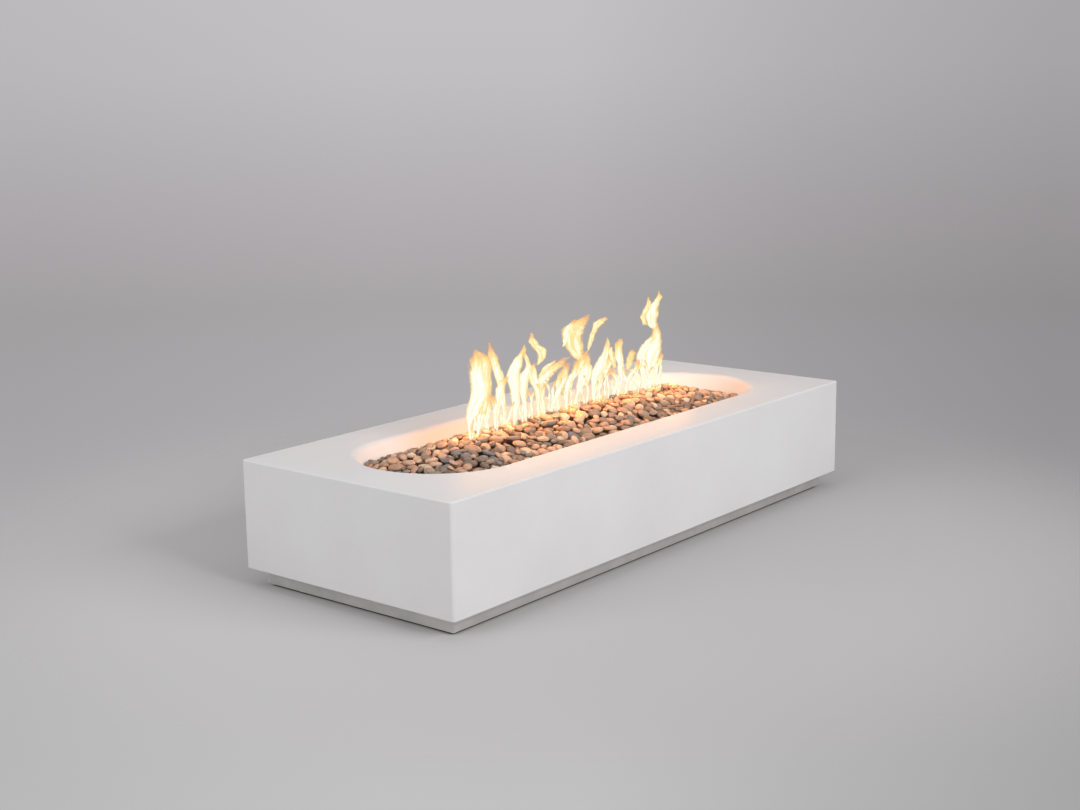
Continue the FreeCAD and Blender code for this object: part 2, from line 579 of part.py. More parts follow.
def concrete_body():
    """The casting: a shell open underneath, with the bowl hanging from its top."""
    body = keep(doc.addObject("PartDesign::Body", "concrete_body"))
    outline = sketch_on(body, "body_outline", "XY_Plane", BODY_BASE)
    add_rectangle(outline, "Sizes.length", "Sizes.width")
    extrude(body, "Pad", "body_block", outline, "Sizes.body_height")
    fillet(body, "body_corners", "Sizes.corner_radius",
           lambda edge: runs_along(edge, Vector(0, 0, 1)))
    ends = (value(BODY_BASE), value(BODY_TOP))
    fillet(body, "body_edges", "Sizes.edge_radius",
           lambda edge: any(lies_at(edge, Vector(0, 0, 1), level) for level in ends))

    mouth = sketch_on(body, "underside_opening", "XY_Plane", BODY_BASE)
    add_rectangle(mouth, "Sizes.length - 2 * Sizes.lip_width",
                  "Sizes.width - 2 * Sizes.lip_width")
    extrude(body, "Pocket", "underside_cut", mouth,
            "Sizes.body_height - Sizes.top_thickness", reverse=True)
    room = sketch_on(body, "inside_outline", "XY_Plane", f"{BODY_BASE} + Sizes.lip_thickness")
    add_rectangle(room, "Sizes.length - 2 * Sizes.shell_wall",
                  "Sizes.width - 2 * Sizes.shell_wall")
    extrude(body, "Pocket", "inside_cut", room,
            "Sizes.body_height - Sizes.lip_thickness - Sizes.top_thickness", reverse=True)

    across = "Sizes.bowl_wall / cos(Sizes.wall_slope)"
    low, high = f"({BOWL_FLOOR} - Sizes.bowl_wall)", f"({BODY_TOP} - Sizes.top_thickness / 2)"
    under = sketch_on(body, "bowl_underside", "XY_Plane", low)
    add_slot(under, BOWL_STRAIGHT, f"{bowl_radius(low)} + {across}")
    joint = sketch_on(body, "bowl_joint", "XY_Plane", high)
    add_slot(joint, BOWL_STRAIGHT, f"{bowl_radius(high)} + {across}")
    loft(body, "Additive", "bowl_shell", under, joint)
    floor = sketch_on(body, "bowl_floor", "XY_Plane", BOWL_FLOOR)
    add_slot(floor, BOWL_STRAIGHT, bowl_radius(BOWL_FLOOR))
    above = f"({BODY_TOP} + Sizes.rim_radius)"
    rim = sketch_on(body, "bowl_mouth", "XY_Plane", above)
    add_slot(rim, BOWL_STRAIGHT, bowl_radius(above))
    loft(body, "Subtractive", "bowl_hollow", floor, rim)
    half_width = value(f"{MOUTH_RADIUS} + Sizes.edge_radius")
    half_length = value(BOWL_STRAIGHT) + half_width
    top = value(BODY_TOP)
    fillet(body, "bowl_rim", "Sizes.rim_radius",
           lambda edge: lies_at(edge, Vector(0, 0, 1), top)
           and max(abs(vertex.X) for vertex in edge.Vertexes) < half_length
           and max(abs(vertex.Y) for vertex in edge.Vertexes) < half_width)

    hatch = sketch_on(body, "pan_cutout", "XY_Plane", BOWL_FLOOR)
    add_rectangle(hatch, f"{PAN_LENGTH} + 2 * Sizes.pan_play",
                  "Sizes.pan_width + 2 * Sizes.pan_play")
    extrude(body, "Pocket", "pan_cut", hatch, "Sizes.bowl_wall")
    anchors = sketch_on(body, "pan_anchors", "XY_Plane", BOWL_FLOOR)
    for x, y in PAN_SCREWS:
        add_circle(anchors, "Sizes.screw_radius + Sizes.fit_gap", x, y)
    extrude(body, "Pocket", "pan_anchor_holes", anchors, "Sizes.screw_length")
    sockets = sketch_on(body, "insert_sockets", "XY_Plane", BODY_BASE)
    for x, y in BOLTS:
        add_circle(sockets, "Sizes.insert_radius + Sizes.fit_gap", x, y)
    extrude(body, "Pocket", "insert_holes", sockets, "Sizes.insert_length + Sizes.insert_room",
            reverse=True)

    recess = sketch_on(body, "niche_recess", "XZ_Plane", f"-{BACK_FACE}")
    play = "2 * (Sizes.niche_flange + Sizes.fit_gap)"
    add_rectangle(recess, f"Sizes.niche_length + {play}", f"Sizes.niche_height + {play}",
                  CONTROL_X, "Sizes.control_height")
    extrude(body, "Pocket", "niche_recess_cut", recess, f"{BACK_FACE} - {NICHE_SEAT}",
            reverse=True)
    window = sketch_on(body, "niche_window", "XZ_Plane", f"-{NICHE_SEAT}")
    add_rectangle(window, "Sizes.niche_length + Sizes.niche_play",
                  "Sizes.niche_height + Sizes.niche_play", CONTROL_X, "Sizes.control_height")
    extrude(body, "Pocket", "niche_window_cut", window, "Sizes.shell_wall", reverse=True)
    holes = sketch_on(body, "niche_anchors", "XZ_Plane", f"-{NICHE_SEAT}")
    for x, z in NICHE_SCREWS:
        add_circle(holes, "Sizes.screw_radius + Sizes.fit_gap", x, z)
    extrude(body, "Pocket", "niche_anchor_holes", holes, "Sizes.screw_length", reverse=True)


def burner_pan():
    """The drop-in tray, its gasket, its screws and its drain."""
    pan = keep(doc.addObject("PartDesign::Body", "burner_pan"))
    trough = sketch_on(pan, "trough_outline", "XY_Plane", PAN_UNDER)
    add_rectangle(trough, PAN_LENGTH, "Sizes.pan_width")
    extrude(pan, "Pad", "trough_block", trough, "Sizes.pan_depth + Sizes.pan_sheet")
    flange = sketch_on(pan, "flange_outline", "XY_Plane", f"{FLANGE_TOP} - Sizes.pan_sheet")
    add_rectangle(flange, f"{PAN_LENGTH} + 2 * Sizes.pan_flange",
                  "Sizes.pan_width + 2 * Sizes.pan_flange")
    extrude(pan, "Pad", "flange_plate", flange, "Sizes.pan_sheet")
    inside = sketch_on(pan, "trough_inside", "XY_Plane", FLANGE_TOP)
    add_rectangle(inside, f"{PAN_LENGTH} - 2 * Sizes.pan_sheet",
                  "Sizes.pan_width - 2 * Sizes.pan_sheet")
    extrude(pan, "Pocket", "trough_hollow", inside, "Sizes.pan_depth")
    ways = sketch_on(pan, "floor_holes", "XY_Plane", PAN_FLOOR)
    add_circle(ways, "Sizes.stub_radius + Sizes.floor_play")
    add_circle(ways, "Sizes.insulator_radius + Sizes.floor_play", "Sizes.sensor_x",
               "Sizes.sensor_y")
    add_circle(ways, "Sizes.thermo_radius + Sizes.floor_play", THERMO_X, "Sizes.sensor_y")
    add_circle(ways, "Sizes.drain_radius + Sizes.fit_gap", DRAIN_X)
    extrude(pan, "Pocket", "floor_hole_cuts", ways, "Sizes.pan_sheet")
    screws = sketch_on(pan, "flange_holes", "XY_Plane", FLANGE_TOP)
    for x, y in PAN_SCREWS:
        add_circle(screws, "Sizes.screw_radius + Sizes.fit_gap", x, y)
    extrude(pan, "Pocket", "flange_hole_cuts", screws, "Sizes.pan_sheet")

    plate = block("gasket_plate", f"{PAN_LENGTH} + 2 * Sizes.pan_flange",
                  "Sizes.pan_width + 2 * Sizes.pan_flange", "Sizes.gasket", z=BOWL_FLOOR)
    hatch = block("gasket_hatch", f"{PAN_LENGTH} + 2 * Sizes.pan_play",
                  "Sizes.pan_width + 2 * Sizes.pan_play", "Sizes.gasket", z=BOWL_FLOOR)
    holes = [rod(f"gasket_hole_{i}", "Sizes.screw_radius + Sizes.fit_gap", "Sizes.gasket", x, y,
                 BOWL_FLOOR) for i, (x, y) in enumerate(PAN_SCREWS, start=1)]
    keep(cut("pan_gasket", plate, hatch, *holes))

    keep(group("pan_screws", [
        fuse(f"pan_screw_{i}",
             rod(f"pan_screw_head_{i}", "Sizes.screw_head_radius", "Sizes.screw_head_height",
                 x, y, FLANGE_TOP),
             rod(f"pan_screw_shank_{i}", "Sizes.screw_radius", "Sizes.screw_length",
                 x, y, f"{FLANGE_TOP} - Sizes.screw_length"))
        for i, (x, y) in enumerate(PAN_SCREWS, start=1)]))

    spout = rod("spout_wall", "Sizes.drain_radius", "Sizes.drain_drop + Sizes.pan_sheet",
                DRAIN_X, "0", f"{PAN_UNDER} - Sizes.drain_drop")
    collar = rod("spout_collar", "Sizes.drain_radius + Sizes.drain_collar", "Sizes.pan_sheet",
                 DRAIN_X, "0", f"{PAN_UNDER} - Sizes.pan_sheet")
    way = rod("spout_way", "Sizes.drain_bore", "Sizes.drain_drop + Sizes.pan_sheet",
              DRAIN_X, "0", f"{PAN_UNDER} - Sizes.drain_drop")
    keep(cut("drain_spout", fuse("spout_body", spout, collar), way))


def burner():
    """The burner tube with its ports, caps, saddles and threaded stub."""
    tube = keep(doc.addObject("PartDesign::Body", "burner_tube"))
    ring = sketch_on(tube, "tube_section", "YZ_Plane")
    add_circle(ring, "Sizes.burner_radius", "0", BURNER_AXIS)
    add_circle(ring, "Sizes.burner_radius - Sizes.burner_wall", "0", BURNER_AXIS)
    extrude(tube, "Pad", "tube_wall", ring, "Sizes.burner_length", middle=True)
    way = sketch_on(tube, "stub_way", "XY_Plane", BURNER_AXIS)
    add_circle(way, "Sizes.stub_bore")
    extrude(tube, "Pocket", "stub_way_cut", way, "Sizes.burner_radius")
    port = sketch_on(tube, "first_port", "XY_Plane", BURNER_AXIS)
    add_circle(port, "Sizes.port_radius", "Sizes.port_margin - Sizes.burner_length / 2")
    hole = extrude(tube, "Pocket", "port_cut", port, "Sizes.burner_radius", reverse=True)
    span = value("Sizes.burner_length - 2 * Sizes.port_margin")
    steps = max(1, int(span / value("Sizes.port_pitch") + NIL))
    row = tube.newObject("PartDesign::LinearPattern", "port_row")
    row.Originals = [hole]
    row.Direction = (port, ["H_Axis"])
    row.setExpression("Length", f"{steps} * Sizes.port_pitch")
    row.Occurrences = steps + 1
    tube.Tip = row

    keep(group("burner_caps", [
        rod("burner_cap_left", "Sizes.burner_radius", "Sizes.burner_wall",
            "-Sizes.burner_length / 2 - Sizes.burner_wall", "0", BURNER_AXIS, "X"),
        rod("burner_cap_right", "Sizes.burner_radius", "Sizes.burner_wall",
            "Sizes.burner_length / 2", "0", BURNER_AXIS, "X")]))

    saddles = []
    for side in ("-", ""):
        middle = f"{side}Sizes.burner_length / 3"
        post = block(f"saddle_post{side}", "Sizes.saddle_length",
                     "2 * (Sizes.burner_radius + Sizes.saddle_margin)", "Sizes.burner_lift",
                     middle, "0", PAN_FLOOR)
        seat = rod(f"saddle_seat{side}", "Sizes.burner_radius + Sizes.fit_gap",
                   "2 * Sizes.saddle_length", f"{middle} - Sizes.saddle_length", "0",
                   BURNER_AXIS, "X")
        saddles.append(cut(f"saddle{side}", post, seat))
    keep(group("burner_saddles", saddles))

    stub = pipe("stub_pipe", "Sizes.stub_radius", "Sizes.stub_bore",
                f"{BURNER_AXIS} - {STUB_END}", z=STUB_END)
    seat = rod("stub_seat", "Sizes.burner_radius + Sizes.fit_gap", "4 * Sizes.stub_radius",
               "-2 * Sizes.stub_radius", "0", BURNER_AXIS, "X")
    keep(cut("burner_inlet", stub, seat))
    nuts = []
    for name, base in (("upper", PAN_FLOOR), ("lower", f"{PAN_UNDER} - Sizes.stub_nut_height")):
        bar = hexagon(f"{name}_nut_bar", "Sizes.stub_nut_flats", "Sizes.stub_nut_height", z=base)
        bore = rod(f"{name}_nut_bore", "Sizes.stub_radius + Sizes.fit_gap",
                   "Sizes.stub_nut_height", z=base)
        nuts.append(cut(f"{name}_nut", bar, bore))
    keep(group("inlet_nuts", nuts))


def gas_feed():
    """Elbow, air mixer and orifice under the pan."""
    upright = rod("elbow_upright", "Sizes.elbow_radius",
                  f"{STUB_END} + Sizes.stub_grip - {ELBOW_AXIS}", z=ELBOW_AXIS)
    level = rod("elbow_level", "Sizes.elbow_radius", "Sizes.elbow_reach", "0", "0", ELBOW_AXIS, "Y")
    ball = place(bind(doc.addObject("Part::Sphere", "elbow_ball"), Radius="Sizes.elbow_radius"),
                 "0", "0", ELBOW_AXIS)
    socket = rod("elbow_socket", "Sizes.stub_radius + Sizes.fit_gap", "Sizes.stub_grip",
                 z=STUB_END)
    drop = rod("elbow_drop", "Sizes.stub_bore", "Sizes.elbow_radius", z=ELBOW_AXIS)
    way = rod("elbow_way", "Sizes.stub_bore", "Sizes.elbow_reach", "0", "0", ELBOW_AXIS, "Y")
    bend = place(bind(doc.addObject("Part::Sphere", "elbow_bend"), Radius="Sizes.stub_bore"),
                 "0", "0", ELBOW_AXIS)
    keep(cut("inlet_elbow", fuse("elbow_body", upright, level, ball),
             fuse("elbow_ways", socket, drop, way, bend)))

    barrel = rod("mixer_wall", "Sizes.mixer_radius", "Sizes.mixer_length",
                 "0", "Sizes.elbow_reach", ELBOW_AXIS, "Y")
    bore = rod("mixer_bore", "Sizes.stub_bore", "Sizes.mixer_length",
               "0", "Sizes.elbow_reach", ELBOW_AXIS, "Y")
    windows = block("mixer_windows", "4 * Sizes.mixer_radius", "Sizes.window_length",
                    "Sizes.window_height", "0",
                    f"{MIXER_END} - Sizes.orifice_spigot - Sizes.window_length",
                    f"{ELBOW_AXIS} - Sizes.window_height / 2")
    keep(cut("air_mixer", barrel, fuse("mixer_ways", bore, windows)))

    head = hexagon("orifice_head", "Sizes.orifice_flats", "Sizes.orifice_length",
                   "0", MIXER_END, ELBOW_AXIS, "Y")
    spigot = rod("orifice_spigot", "Sizes.stub_bore - Sizes.fit_gap", "Sizes.orifice_spigot",
                 "0", f"{MIXER_END} - Sizes.orifice_spigot", ELBOW_AXIS, "Y")
    jet = rod("orifice_jet", "Sizes.jet_radius", "Sizes.orifice_spigot",
              "0", f"{MIXER_END} - Sizes.orifice_spigot", ELBOW_AXIS, "Y")
    supply = rod("orifice_supply", "Sizes.hose_bore", "Sizes.orifice_length",
                 "0", MIXER_END, ELBOW_AXIS, "Y")
    keep(cut("gas_orifice", fuse("orifice_body", head, spigot), fuse("orifice_ways", jet, supply)))


def gas_valve():
    """The valve behind the panel with its stem, collar, nut and knob."""
    x, z = KNOB_X, "Sizes.control_height"
    case = block("valve_case", "Sizes.valve_width", "Sizes.valve_depth", "Sizes.valve_height",
                 x, VALVE_MIDDLE, f"{z} - Sizes.valve_height / 2")
    neck = rod("valve_neck", "Sizes.neck_radius", NECK_LENGTH, x, VALVE_FRONT, z, "Y")
    side = rod("valve_ports", "Sizes.port_stub_radius", f"2 * {PORT_REACH}",
               f"{x} - {PORT_REACH}", VALVE_MIDDLE, PORT_Z, "X")
    sensor = rod("valve_sensor_port", "Sizes.sensor_port_radius",
                 "Sizes.sensor_port_length + Sizes.valve_wall", x, VALVE_MIDDLE, VALVE_UNDER)
    chamber = rod("valve_chamber", "Sizes.collar_radius + Sizes.running_gap",
                  "Sizes.valve_depth - Sizes.valve_cover - Sizes.valve_wall",
                  x, f"{VALVE_REAR} + Sizes.valve_wall", z, "Y")
    throat = rod("valve_throat", "Sizes.stem_radius + Sizes.fit_gap",
                 f"Sizes.valve_depth / 2 + {NECK_LENGTH}", x, VALVE_MIDDLE, z, "Y")
    keep(cut("gas_valve", fuse("valve_body", case, neck, side, sensor),
             fuse("valve_ways", chamber, throat)))

    keep(pipe("thrust_collar", "Sizes.collar_radius", "Sizes.stem_radius + Sizes.running_gap",
              "Sizes.collar_length", x, f"{COLLAR_FRONT} - Sizes.collar_length", z, "Y"))
    shaft = rod("stem_shaft", "Sizes.stem_radius",
                f"{KNOB_FRONT} - Sizes.knob_grip - {COLLAR_FRONT} + Sizes.stem_tail",
                x, f"{COLLAR_FRONT} - Sizes.stem_tail", z, "Y")
    shoulder = rod("stem_shoulder", "Sizes.shoulder_radius", "Sizes.shoulder_length",
                   x, COLLAR_FRONT, z, "Y")
    keep(fuse("valve_stem", shaft, shoulder))
    bar = hexagon("valve_nut_bar", "Sizes.valve_nut_flats", "Sizes.nut_thickness",
                  x, NICHE_BACK, z, "Y")
    bore = rod("valve_nut_bore", "Sizes.neck_radius + Sizes.fit_gap", "Sizes.nut_thickness",
               x, NICHE_BACK, z, "Y")
    keep(cut("valve_nut", bar, bore))

    knob = keep(doc.addObject("PartDesign::Body", "control_knob"))
    disc = sketch_on(knob, "knob_disc", "XZ_Plane", f"-({KNOB_FRONT} - Sizes.knob_grip)")
    add_circle(disc, "Sizes.knob_radius")
    extrude(knob, "Pad", "knob_skirt", disc, "Sizes.knob_skirt")
    grip = sketch_on(knob, "knob_grip_outline", "XZ_Plane", f"-{KNOB_FRONT}")
    add_slot(grip, "Sizes.knob_radius - Sizes.knob_bar / 2 - Sizes.knob_rim",
             "Sizes.knob_bar / 2", upright=True)
    extrude(knob, "Pad", "knob_bar", grip, "Sizes.knob_grip")
    front, shelf = value(KNOB_FRONT), value(f"{KNOB_FRONT} - Sizes.knob_grip")
    across = 2 * value("Sizes.knob_radius")
    fillet(knob, "knob_softening", "Sizes.knob_softness",
           lambda edge: lies_at(edge, Vector(0, 1, 0), front)
           or (lies_at(edge, Vector(0, 1, 0), shelf) and edge.Length > across))
    socket = sketch_on(knob, "knob_socket", "XZ_Plane", f"-{KNOB_REAR}")
    add_circle(socket, "Sizes.stem_radius + Sizes.running_gap")
    extrude(knob, "Pocket", "knob_bore", socket, "Sizes.knob_skirt + Sizes.loose_gap")
    place(knob, KNOB_X, "0", "Sizes.control_height")


def control_panel():
    """The recessed panel, its gasket and its screws."""
    niche = keep(doc.addObject("PartDesign::Body", "control_niche"))
    x, z = CONTROL_X, "Sizes.control_height"
    plate = sketch_on(niche, "panel_flange", "XZ_Plane", f"-{NICHE_FACE}")
    add_rectangle(plate, "Sizes.niche_length + 2 * Sizes.niche_flange",
                  "Sizes.niche_height + 2 * Sizes.niche_flange", x, z)
    extrude(niche, "Pad", "panel_plate", plate, "Sizes.niche_sheet")
    box = sketch_on(niche, "panel_box", "XZ_Plane", f"-{NICHE_FACE}")
    add_rectangle(box, "Sizes.niche_length", "Sizes.niche_height", x, z)
    extrude(niche, "Pad", "panel_tray", box, "Sizes.niche_depth + Sizes.niche_sheet")
    inside = sketch_on(niche, "panel_inside", "XZ_Plane", f"-{NICHE_FACE}")
    add_rectangle(inside, "Sizes.niche_length - 2 * Sizes.niche_sheet",
                  "Sizes.niche_height - 2 * Sizes.niche_sheet", x, z)
    extrude(niche, "Pocket", "panel_hollow", inside, "Sizes.niche_depth", reverse=True)
    across = Vector(0, 1, 0)
    fillet(niche, "panel_corners", "Sizes.niche_corner", lambda edge: runs_along(edge, across))
    holes = sketch_on(niche, "panel_holes", "XZ_Plane", f"-{NICHE_BACK}")
    add_circle(holes, "Sizes.neck_radius + Sizes.fit_gap", KNOB_X, z)
    add_circle(holes, "Sizes.barrel_radius + Sizes.fit_gap", IGNITER_X, z)
    extrude(niche, "Pocket", "panel_hole_cuts", holes, "Sizes.niche_sheet", reverse=True)
    corners = sketch_on(niche, "panel_screw_holes", "XZ_Plane", f"-{NICHE_FACE}")
    for spot_x, spot_z in NICHE_SCREWS:
        add_circle(corners, "Sizes.screw_radius + Sizes.fit_gap", spot_x, spot_z)
    extrude(niche, "Pocket", "panel_screw_cuts", corners, "Sizes.niche_sheet", reverse=True)

    low = f"{z} - Sizes.niche_height / 2"
    plate = block("niche_gasket_plate", "Sizes.niche_length + 2 * Sizes.niche_flange",
                  "Sizes.niche_gasket", "Sizes.niche_height + 2 * Sizes.niche_flange",
                  x, f"{NICHE_SEAT} + Sizes.niche_gasket / 2", f"{low} - Sizes.niche_flange")
    hatch = block("niche_gasket_hatch", "Sizes.niche_length + Sizes.niche_play",
                  "Sizes.niche_gasket", "Sizes.niche_height + Sizes.niche_play",
                  x, f"{NICHE_SEAT} + Sizes.niche_gasket / 2", f"{low} - Sizes.niche_play / 2")
    holes = [rod(f"niche_gasket_hole_{i}", "Sizes.screw_radius + Sizes.fit_gap",
                 "Sizes.niche_gasket", spot_x, NICHE_SEAT, spot_z, "Y")
             for i, (spot_x, spot_z) in enumerate(NICHE_SCREWS, start=1)]
    keep(cut("niche_gasket", plate, hatch, *holes))
    keep(group("niche_screws", [
        fuse(f"niche_screw_{i}",
             rod(f"niche_screw_head_{i}", "Sizes.screw_head_radius", "Sizes.screw_head_height",
                 spot_x, NICHE_FACE, spot_z, "Y"),
             rod(f"niche_screw_shank_{i}", "Sizes.screw_radius", "Sizes.screw_length",
                 spot_x, f"{NICHE_FACE} - Sizes.screw_length", spot_z, "Y"))
        for i, (spot_x, spot_z) in enumerate(NICHE_SCREWS, start=1)]))


def igniter():
    """The push-button igniter and what it fires."""
    x, z = IGNITER_X, "Sizes.control_height"
    bezel = rod("igniter_bezel", "Sizes.bezel_radius", "Sizes.bezel_length", x, NICHE_BACK, z, "Y")
    tube = rod("igniter_tube", "Sizes.barrel_radius", "Sizes.barrel_length",
               x, IGNITER_REAR, z, "Y")
    depth = "(Sizes.button_tail + Sizes.button_push + Sizes.button_room)"
    bore = rod("igniter_bore", "Sizes.button_radius + Sizes.running_gap",
               f"{depth} + Sizes.bezel_length", x, f"{NICHE_BACK} - {depth}", z, "Y")
    keep(cut("igniter_barrel", fuse("igniter_case", bezel, tube), bore))
    bar = hexagon("igniter_nut_bar", "Sizes.igniter_nut_flats", "Sizes.nut_thickness",
                  x, f"{PANEL_REAR} - Sizes.nut_thickness", z, "Y")
    hole = rod("igniter_nut_bore", "Sizes.barrel_radius + Sizes.fit_gap", "Sizes.nut_thickness",
               x, f"{PANEL_REAR} - Sizes.nut_thickness", z, "Y")
    keep(cut("igniter_nut", bar, hole))
    button = keep(doc.addObject("PartDesign::Body", "igniter_button"))
    face = sketch_on(button, "button_face", "XZ_Plane", f"-{BUTTON_FRONT}")
    add_circle(face, "Sizes.button_radius")
    extrude(button, "Pad", "button_rod", face,
            "Sizes.button_height + Sizes.bezel_length + Sizes.button_tail")
    front = value(BUTTON_FRONT)
    fillet(button, "button_softening", "Sizes.button_softness",
           lambda edge: lies_at(edge, Vector(0, 1, 0), front))
    place(button, x, "0", z)


def ignition():
    """Electrode, thermocouple and their bracket beside the burner."""
    spark = ("Sizes.sensor_x", "Sizes.sensor_y")
    heat = (THERMO_X, "Sizes.sensor_y")
    middle = "Sizes.sensor_x + Sizes.sensor_spacing / 2"
    length = "Sizes.sensor_spacing + 2 * Sizes.bracket_margin"
    rear = "(Sizes.sensor_y + Sizes.bracket_depth - Sizes.bracket_front)"
    foot = block("bracket_foot", length, "Sizes.bracket_depth", "Sizes.bracket_sheet",
                 middle, f"{rear} - Sizes.bracket_depth / 2", PAN_FLOOR)
    back = block("bracket_back", length, "Sizes.bracket_sheet", "Sizes.bracket_height",
                 middle, f"{rear} - Sizes.bracket_sheet / 2", PAN_FLOOR)
    holes = (rod("bracket_hole_1", "Sizes.insulator_radius + Sizes.loose_gap",
                 "Sizes.bracket_sheet", *spark, PAN_FLOOR),
             rod("bracket_hole_2", "Sizes.thermo_radius + Sizes.loose_gap",
                 "Sizes.bracket_sheet", *heat, PAN_FLOOR))
    keep(cut("ignition_bracket", fuse("bracket_body", foot, back), *holes))

    seat = f"{PAN_FLOOR} + Sizes.bracket_sheet"
    ceramic = rod("insulator_rod", "Sizes.insulator_radius",
                  "Sizes.insulator_drop + Sizes.pan_sheet + Sizes.insulator_height",
                  *spark, f"{PAN_UNDER} - Sizes.insulator_drop")
    collar = rod("insulator_collar", "Sizes.insulator_radius + Sizes.sensor_collar",
                 "Sizes.sensor_collar_height", *spark, seat)
    keep(fuse("spark_electrode", ceramic, collar))
    tip = f"({PAN_FLOOR} + Sizes.insulator_height)"
    bend = place(bind(doc.addObject("Part::Sphere", "wire_bend"), Radius="Sizes.wire_radius"),
                 *spark, f"{tip} + Sizes.wire_rise")
    point = "(Sizes.burner_radius + Sizes.spark_gap)"
    keep(fuse("electrode_wire", bend,
              rod("wire_upright", "Sizes.wire_radius", "Sizes.wire_rise", *spark, tip),
              rod("wire_level", "Sizes.wire_radius", f"Sizes.sensor_y - {point}",
                  "Sizes.sensor_x", point, f"{tip} + Sizes.wire_rise", "Y")))
    probe = rod("thermocouple_rod", "Sizes.thermo_radius",
                "Sizes.thermo_height + Sizes.thermo_drop + Sizes.pan_sheet",
                *heat, f"{PAN_UNDER} - Sizes.thermo_drop")
    ring = rod("thermocouple_collar", "Sizes.thermo_radius + Sizes.sensor_collar",
               "Sizes.sensor_collar_height", *heat, seat)
    keep(fuse("thermocouple", probe, ring))


def gas_inlet():
    """The connection in the rear skirt that a supply hose screws onto."""
    x, z = INLET_X, INLET_Z
    flange = hexagon("inlet_hex", "Sizes.inlet_hex_flats", "Sizes.inlet_hex_length",
                     x, PLINTH_Y, z, "Y")
    thread = rod("inlet_thread", "Sizes.inlet_thread_radius", "Sizes.inlet_thread_length", x,
                 f"{PLINTH_Y} + Sizes.inlet_hex_length", z, "Y")
    shank = rod("inlet_shank", "Sizes.inlet_body_radius", "Sizes.inlet_body_length", x,
                f"{PLINTH_Y} - Sizes.inlet_body_length", z, "Y")
    tail = rod("inlet_tail", "Sizes.hose_radius + Sizes.inlet_tail_margin",
               "Sizes.inlet_tail_length", x, INLET_TAIL, z, "Y")
    way = rod("inlet_way", "Sizes.hose_bore",
              "Sizes.inlet_tail_length + Sizes.inlet_body_length + Sizes.inlet_hex_length"
              " + Sizes.inlet_thread_length", x, INLET_TAIL, z, "Y")
    keep(cut("gas_inlet", fuse("inlet_body", flange, thread, shank, tail), way))
    rear = f"{FRAME_Y} - Sizes.inlet_nut_height"
    bar = hexagon("inlet_nut_bar", "Sizes.inlet_nut_flats", "Sizes.inlet_nut_height",
                  x, rear, z, "Y")
    bore = rod("inlet_nut_bore", "Sizes.inlet_body_radius + Sizes.fit_gap",
               "Sizes.inlet_nut_height", x, rear, z, "Y")
    keep(cut("gas_inlet_nut", bar, bore))


def rounded_path(points):
    """Straight runs joined by arcs as large as the runs beside them allow."""
    edges, radii, length = [], [], 0.0
    start = points[0]
    for before, corner, after in zip(points, points[1:], points[2:]):
        back, ahead = before - corner, after - corner
        turn = math.pi - back.getAngle(ahead)
        shorter = min(back.Length, ahead.Length)
        trim = BEND_SHARE * shorter
        radius = trim / math.tan(turn / 2)
        back.normalize()
        ahead.normalize()
        enter, leave = corner + back * trim, corner + ahead * trim
        inward = (back + ahead).normalize()
        middle = corner + inward * (radius / math.cos(turn / 2) - radius)
        edges.append(Part.LineSegment(start, enter).toShape())
        edges.append(Part.Arc(enter, middle, leave).toShape())
        length += (enter - start).Length + radius * turn
        radii.append(radius)
        start = leave
    edges.append(Part.LineSegment(start, points[-1]).toShape())
    return Part.Wire(edges), length + (points[-1] - start).Length, radii


def flexible(name, radius, bore, places):
    """A hose or lead along its route, whose bends are offsets from places."""
    spots = [Vector(*(value(number) for number in places[spot])) + Vector(*offset)
             for spot, *offset in ROUTES[name]]
    path, length, radii = rounded_path(spots)
    direction = spots[1] - spots[0]
    rings = [value(radius)] + ([value(bore)] if bore else [])
    sweeps = []
    for ring in rings:
        circle = Part.Wire([Part.Circle(spots[0], direction, ring).toShape()])
        sweeps.append(path.makePipeShell([circle], True, True, 2))
    solid = sweeps[0].cut(sweeps[1]) if bore else sweeps[0]
    area = math.pi * (rings[0] ** 2 - (rings[1] ** 2 if bore else 0))
    ratio = solid.Volume / (area * length)
    print(f"{name}: length {length:.0f}, radii {[round(item) for item in radii]}")
    if abs(ratio - 1) > TUBE_TOLERANCE:
        raise ValueError(f"{name} isn't a clean tube: it holds {ratio:.4f} of its volume")
    feature = keep(doc.addObject("Part::Feature", name))
    feature.Shape = solid


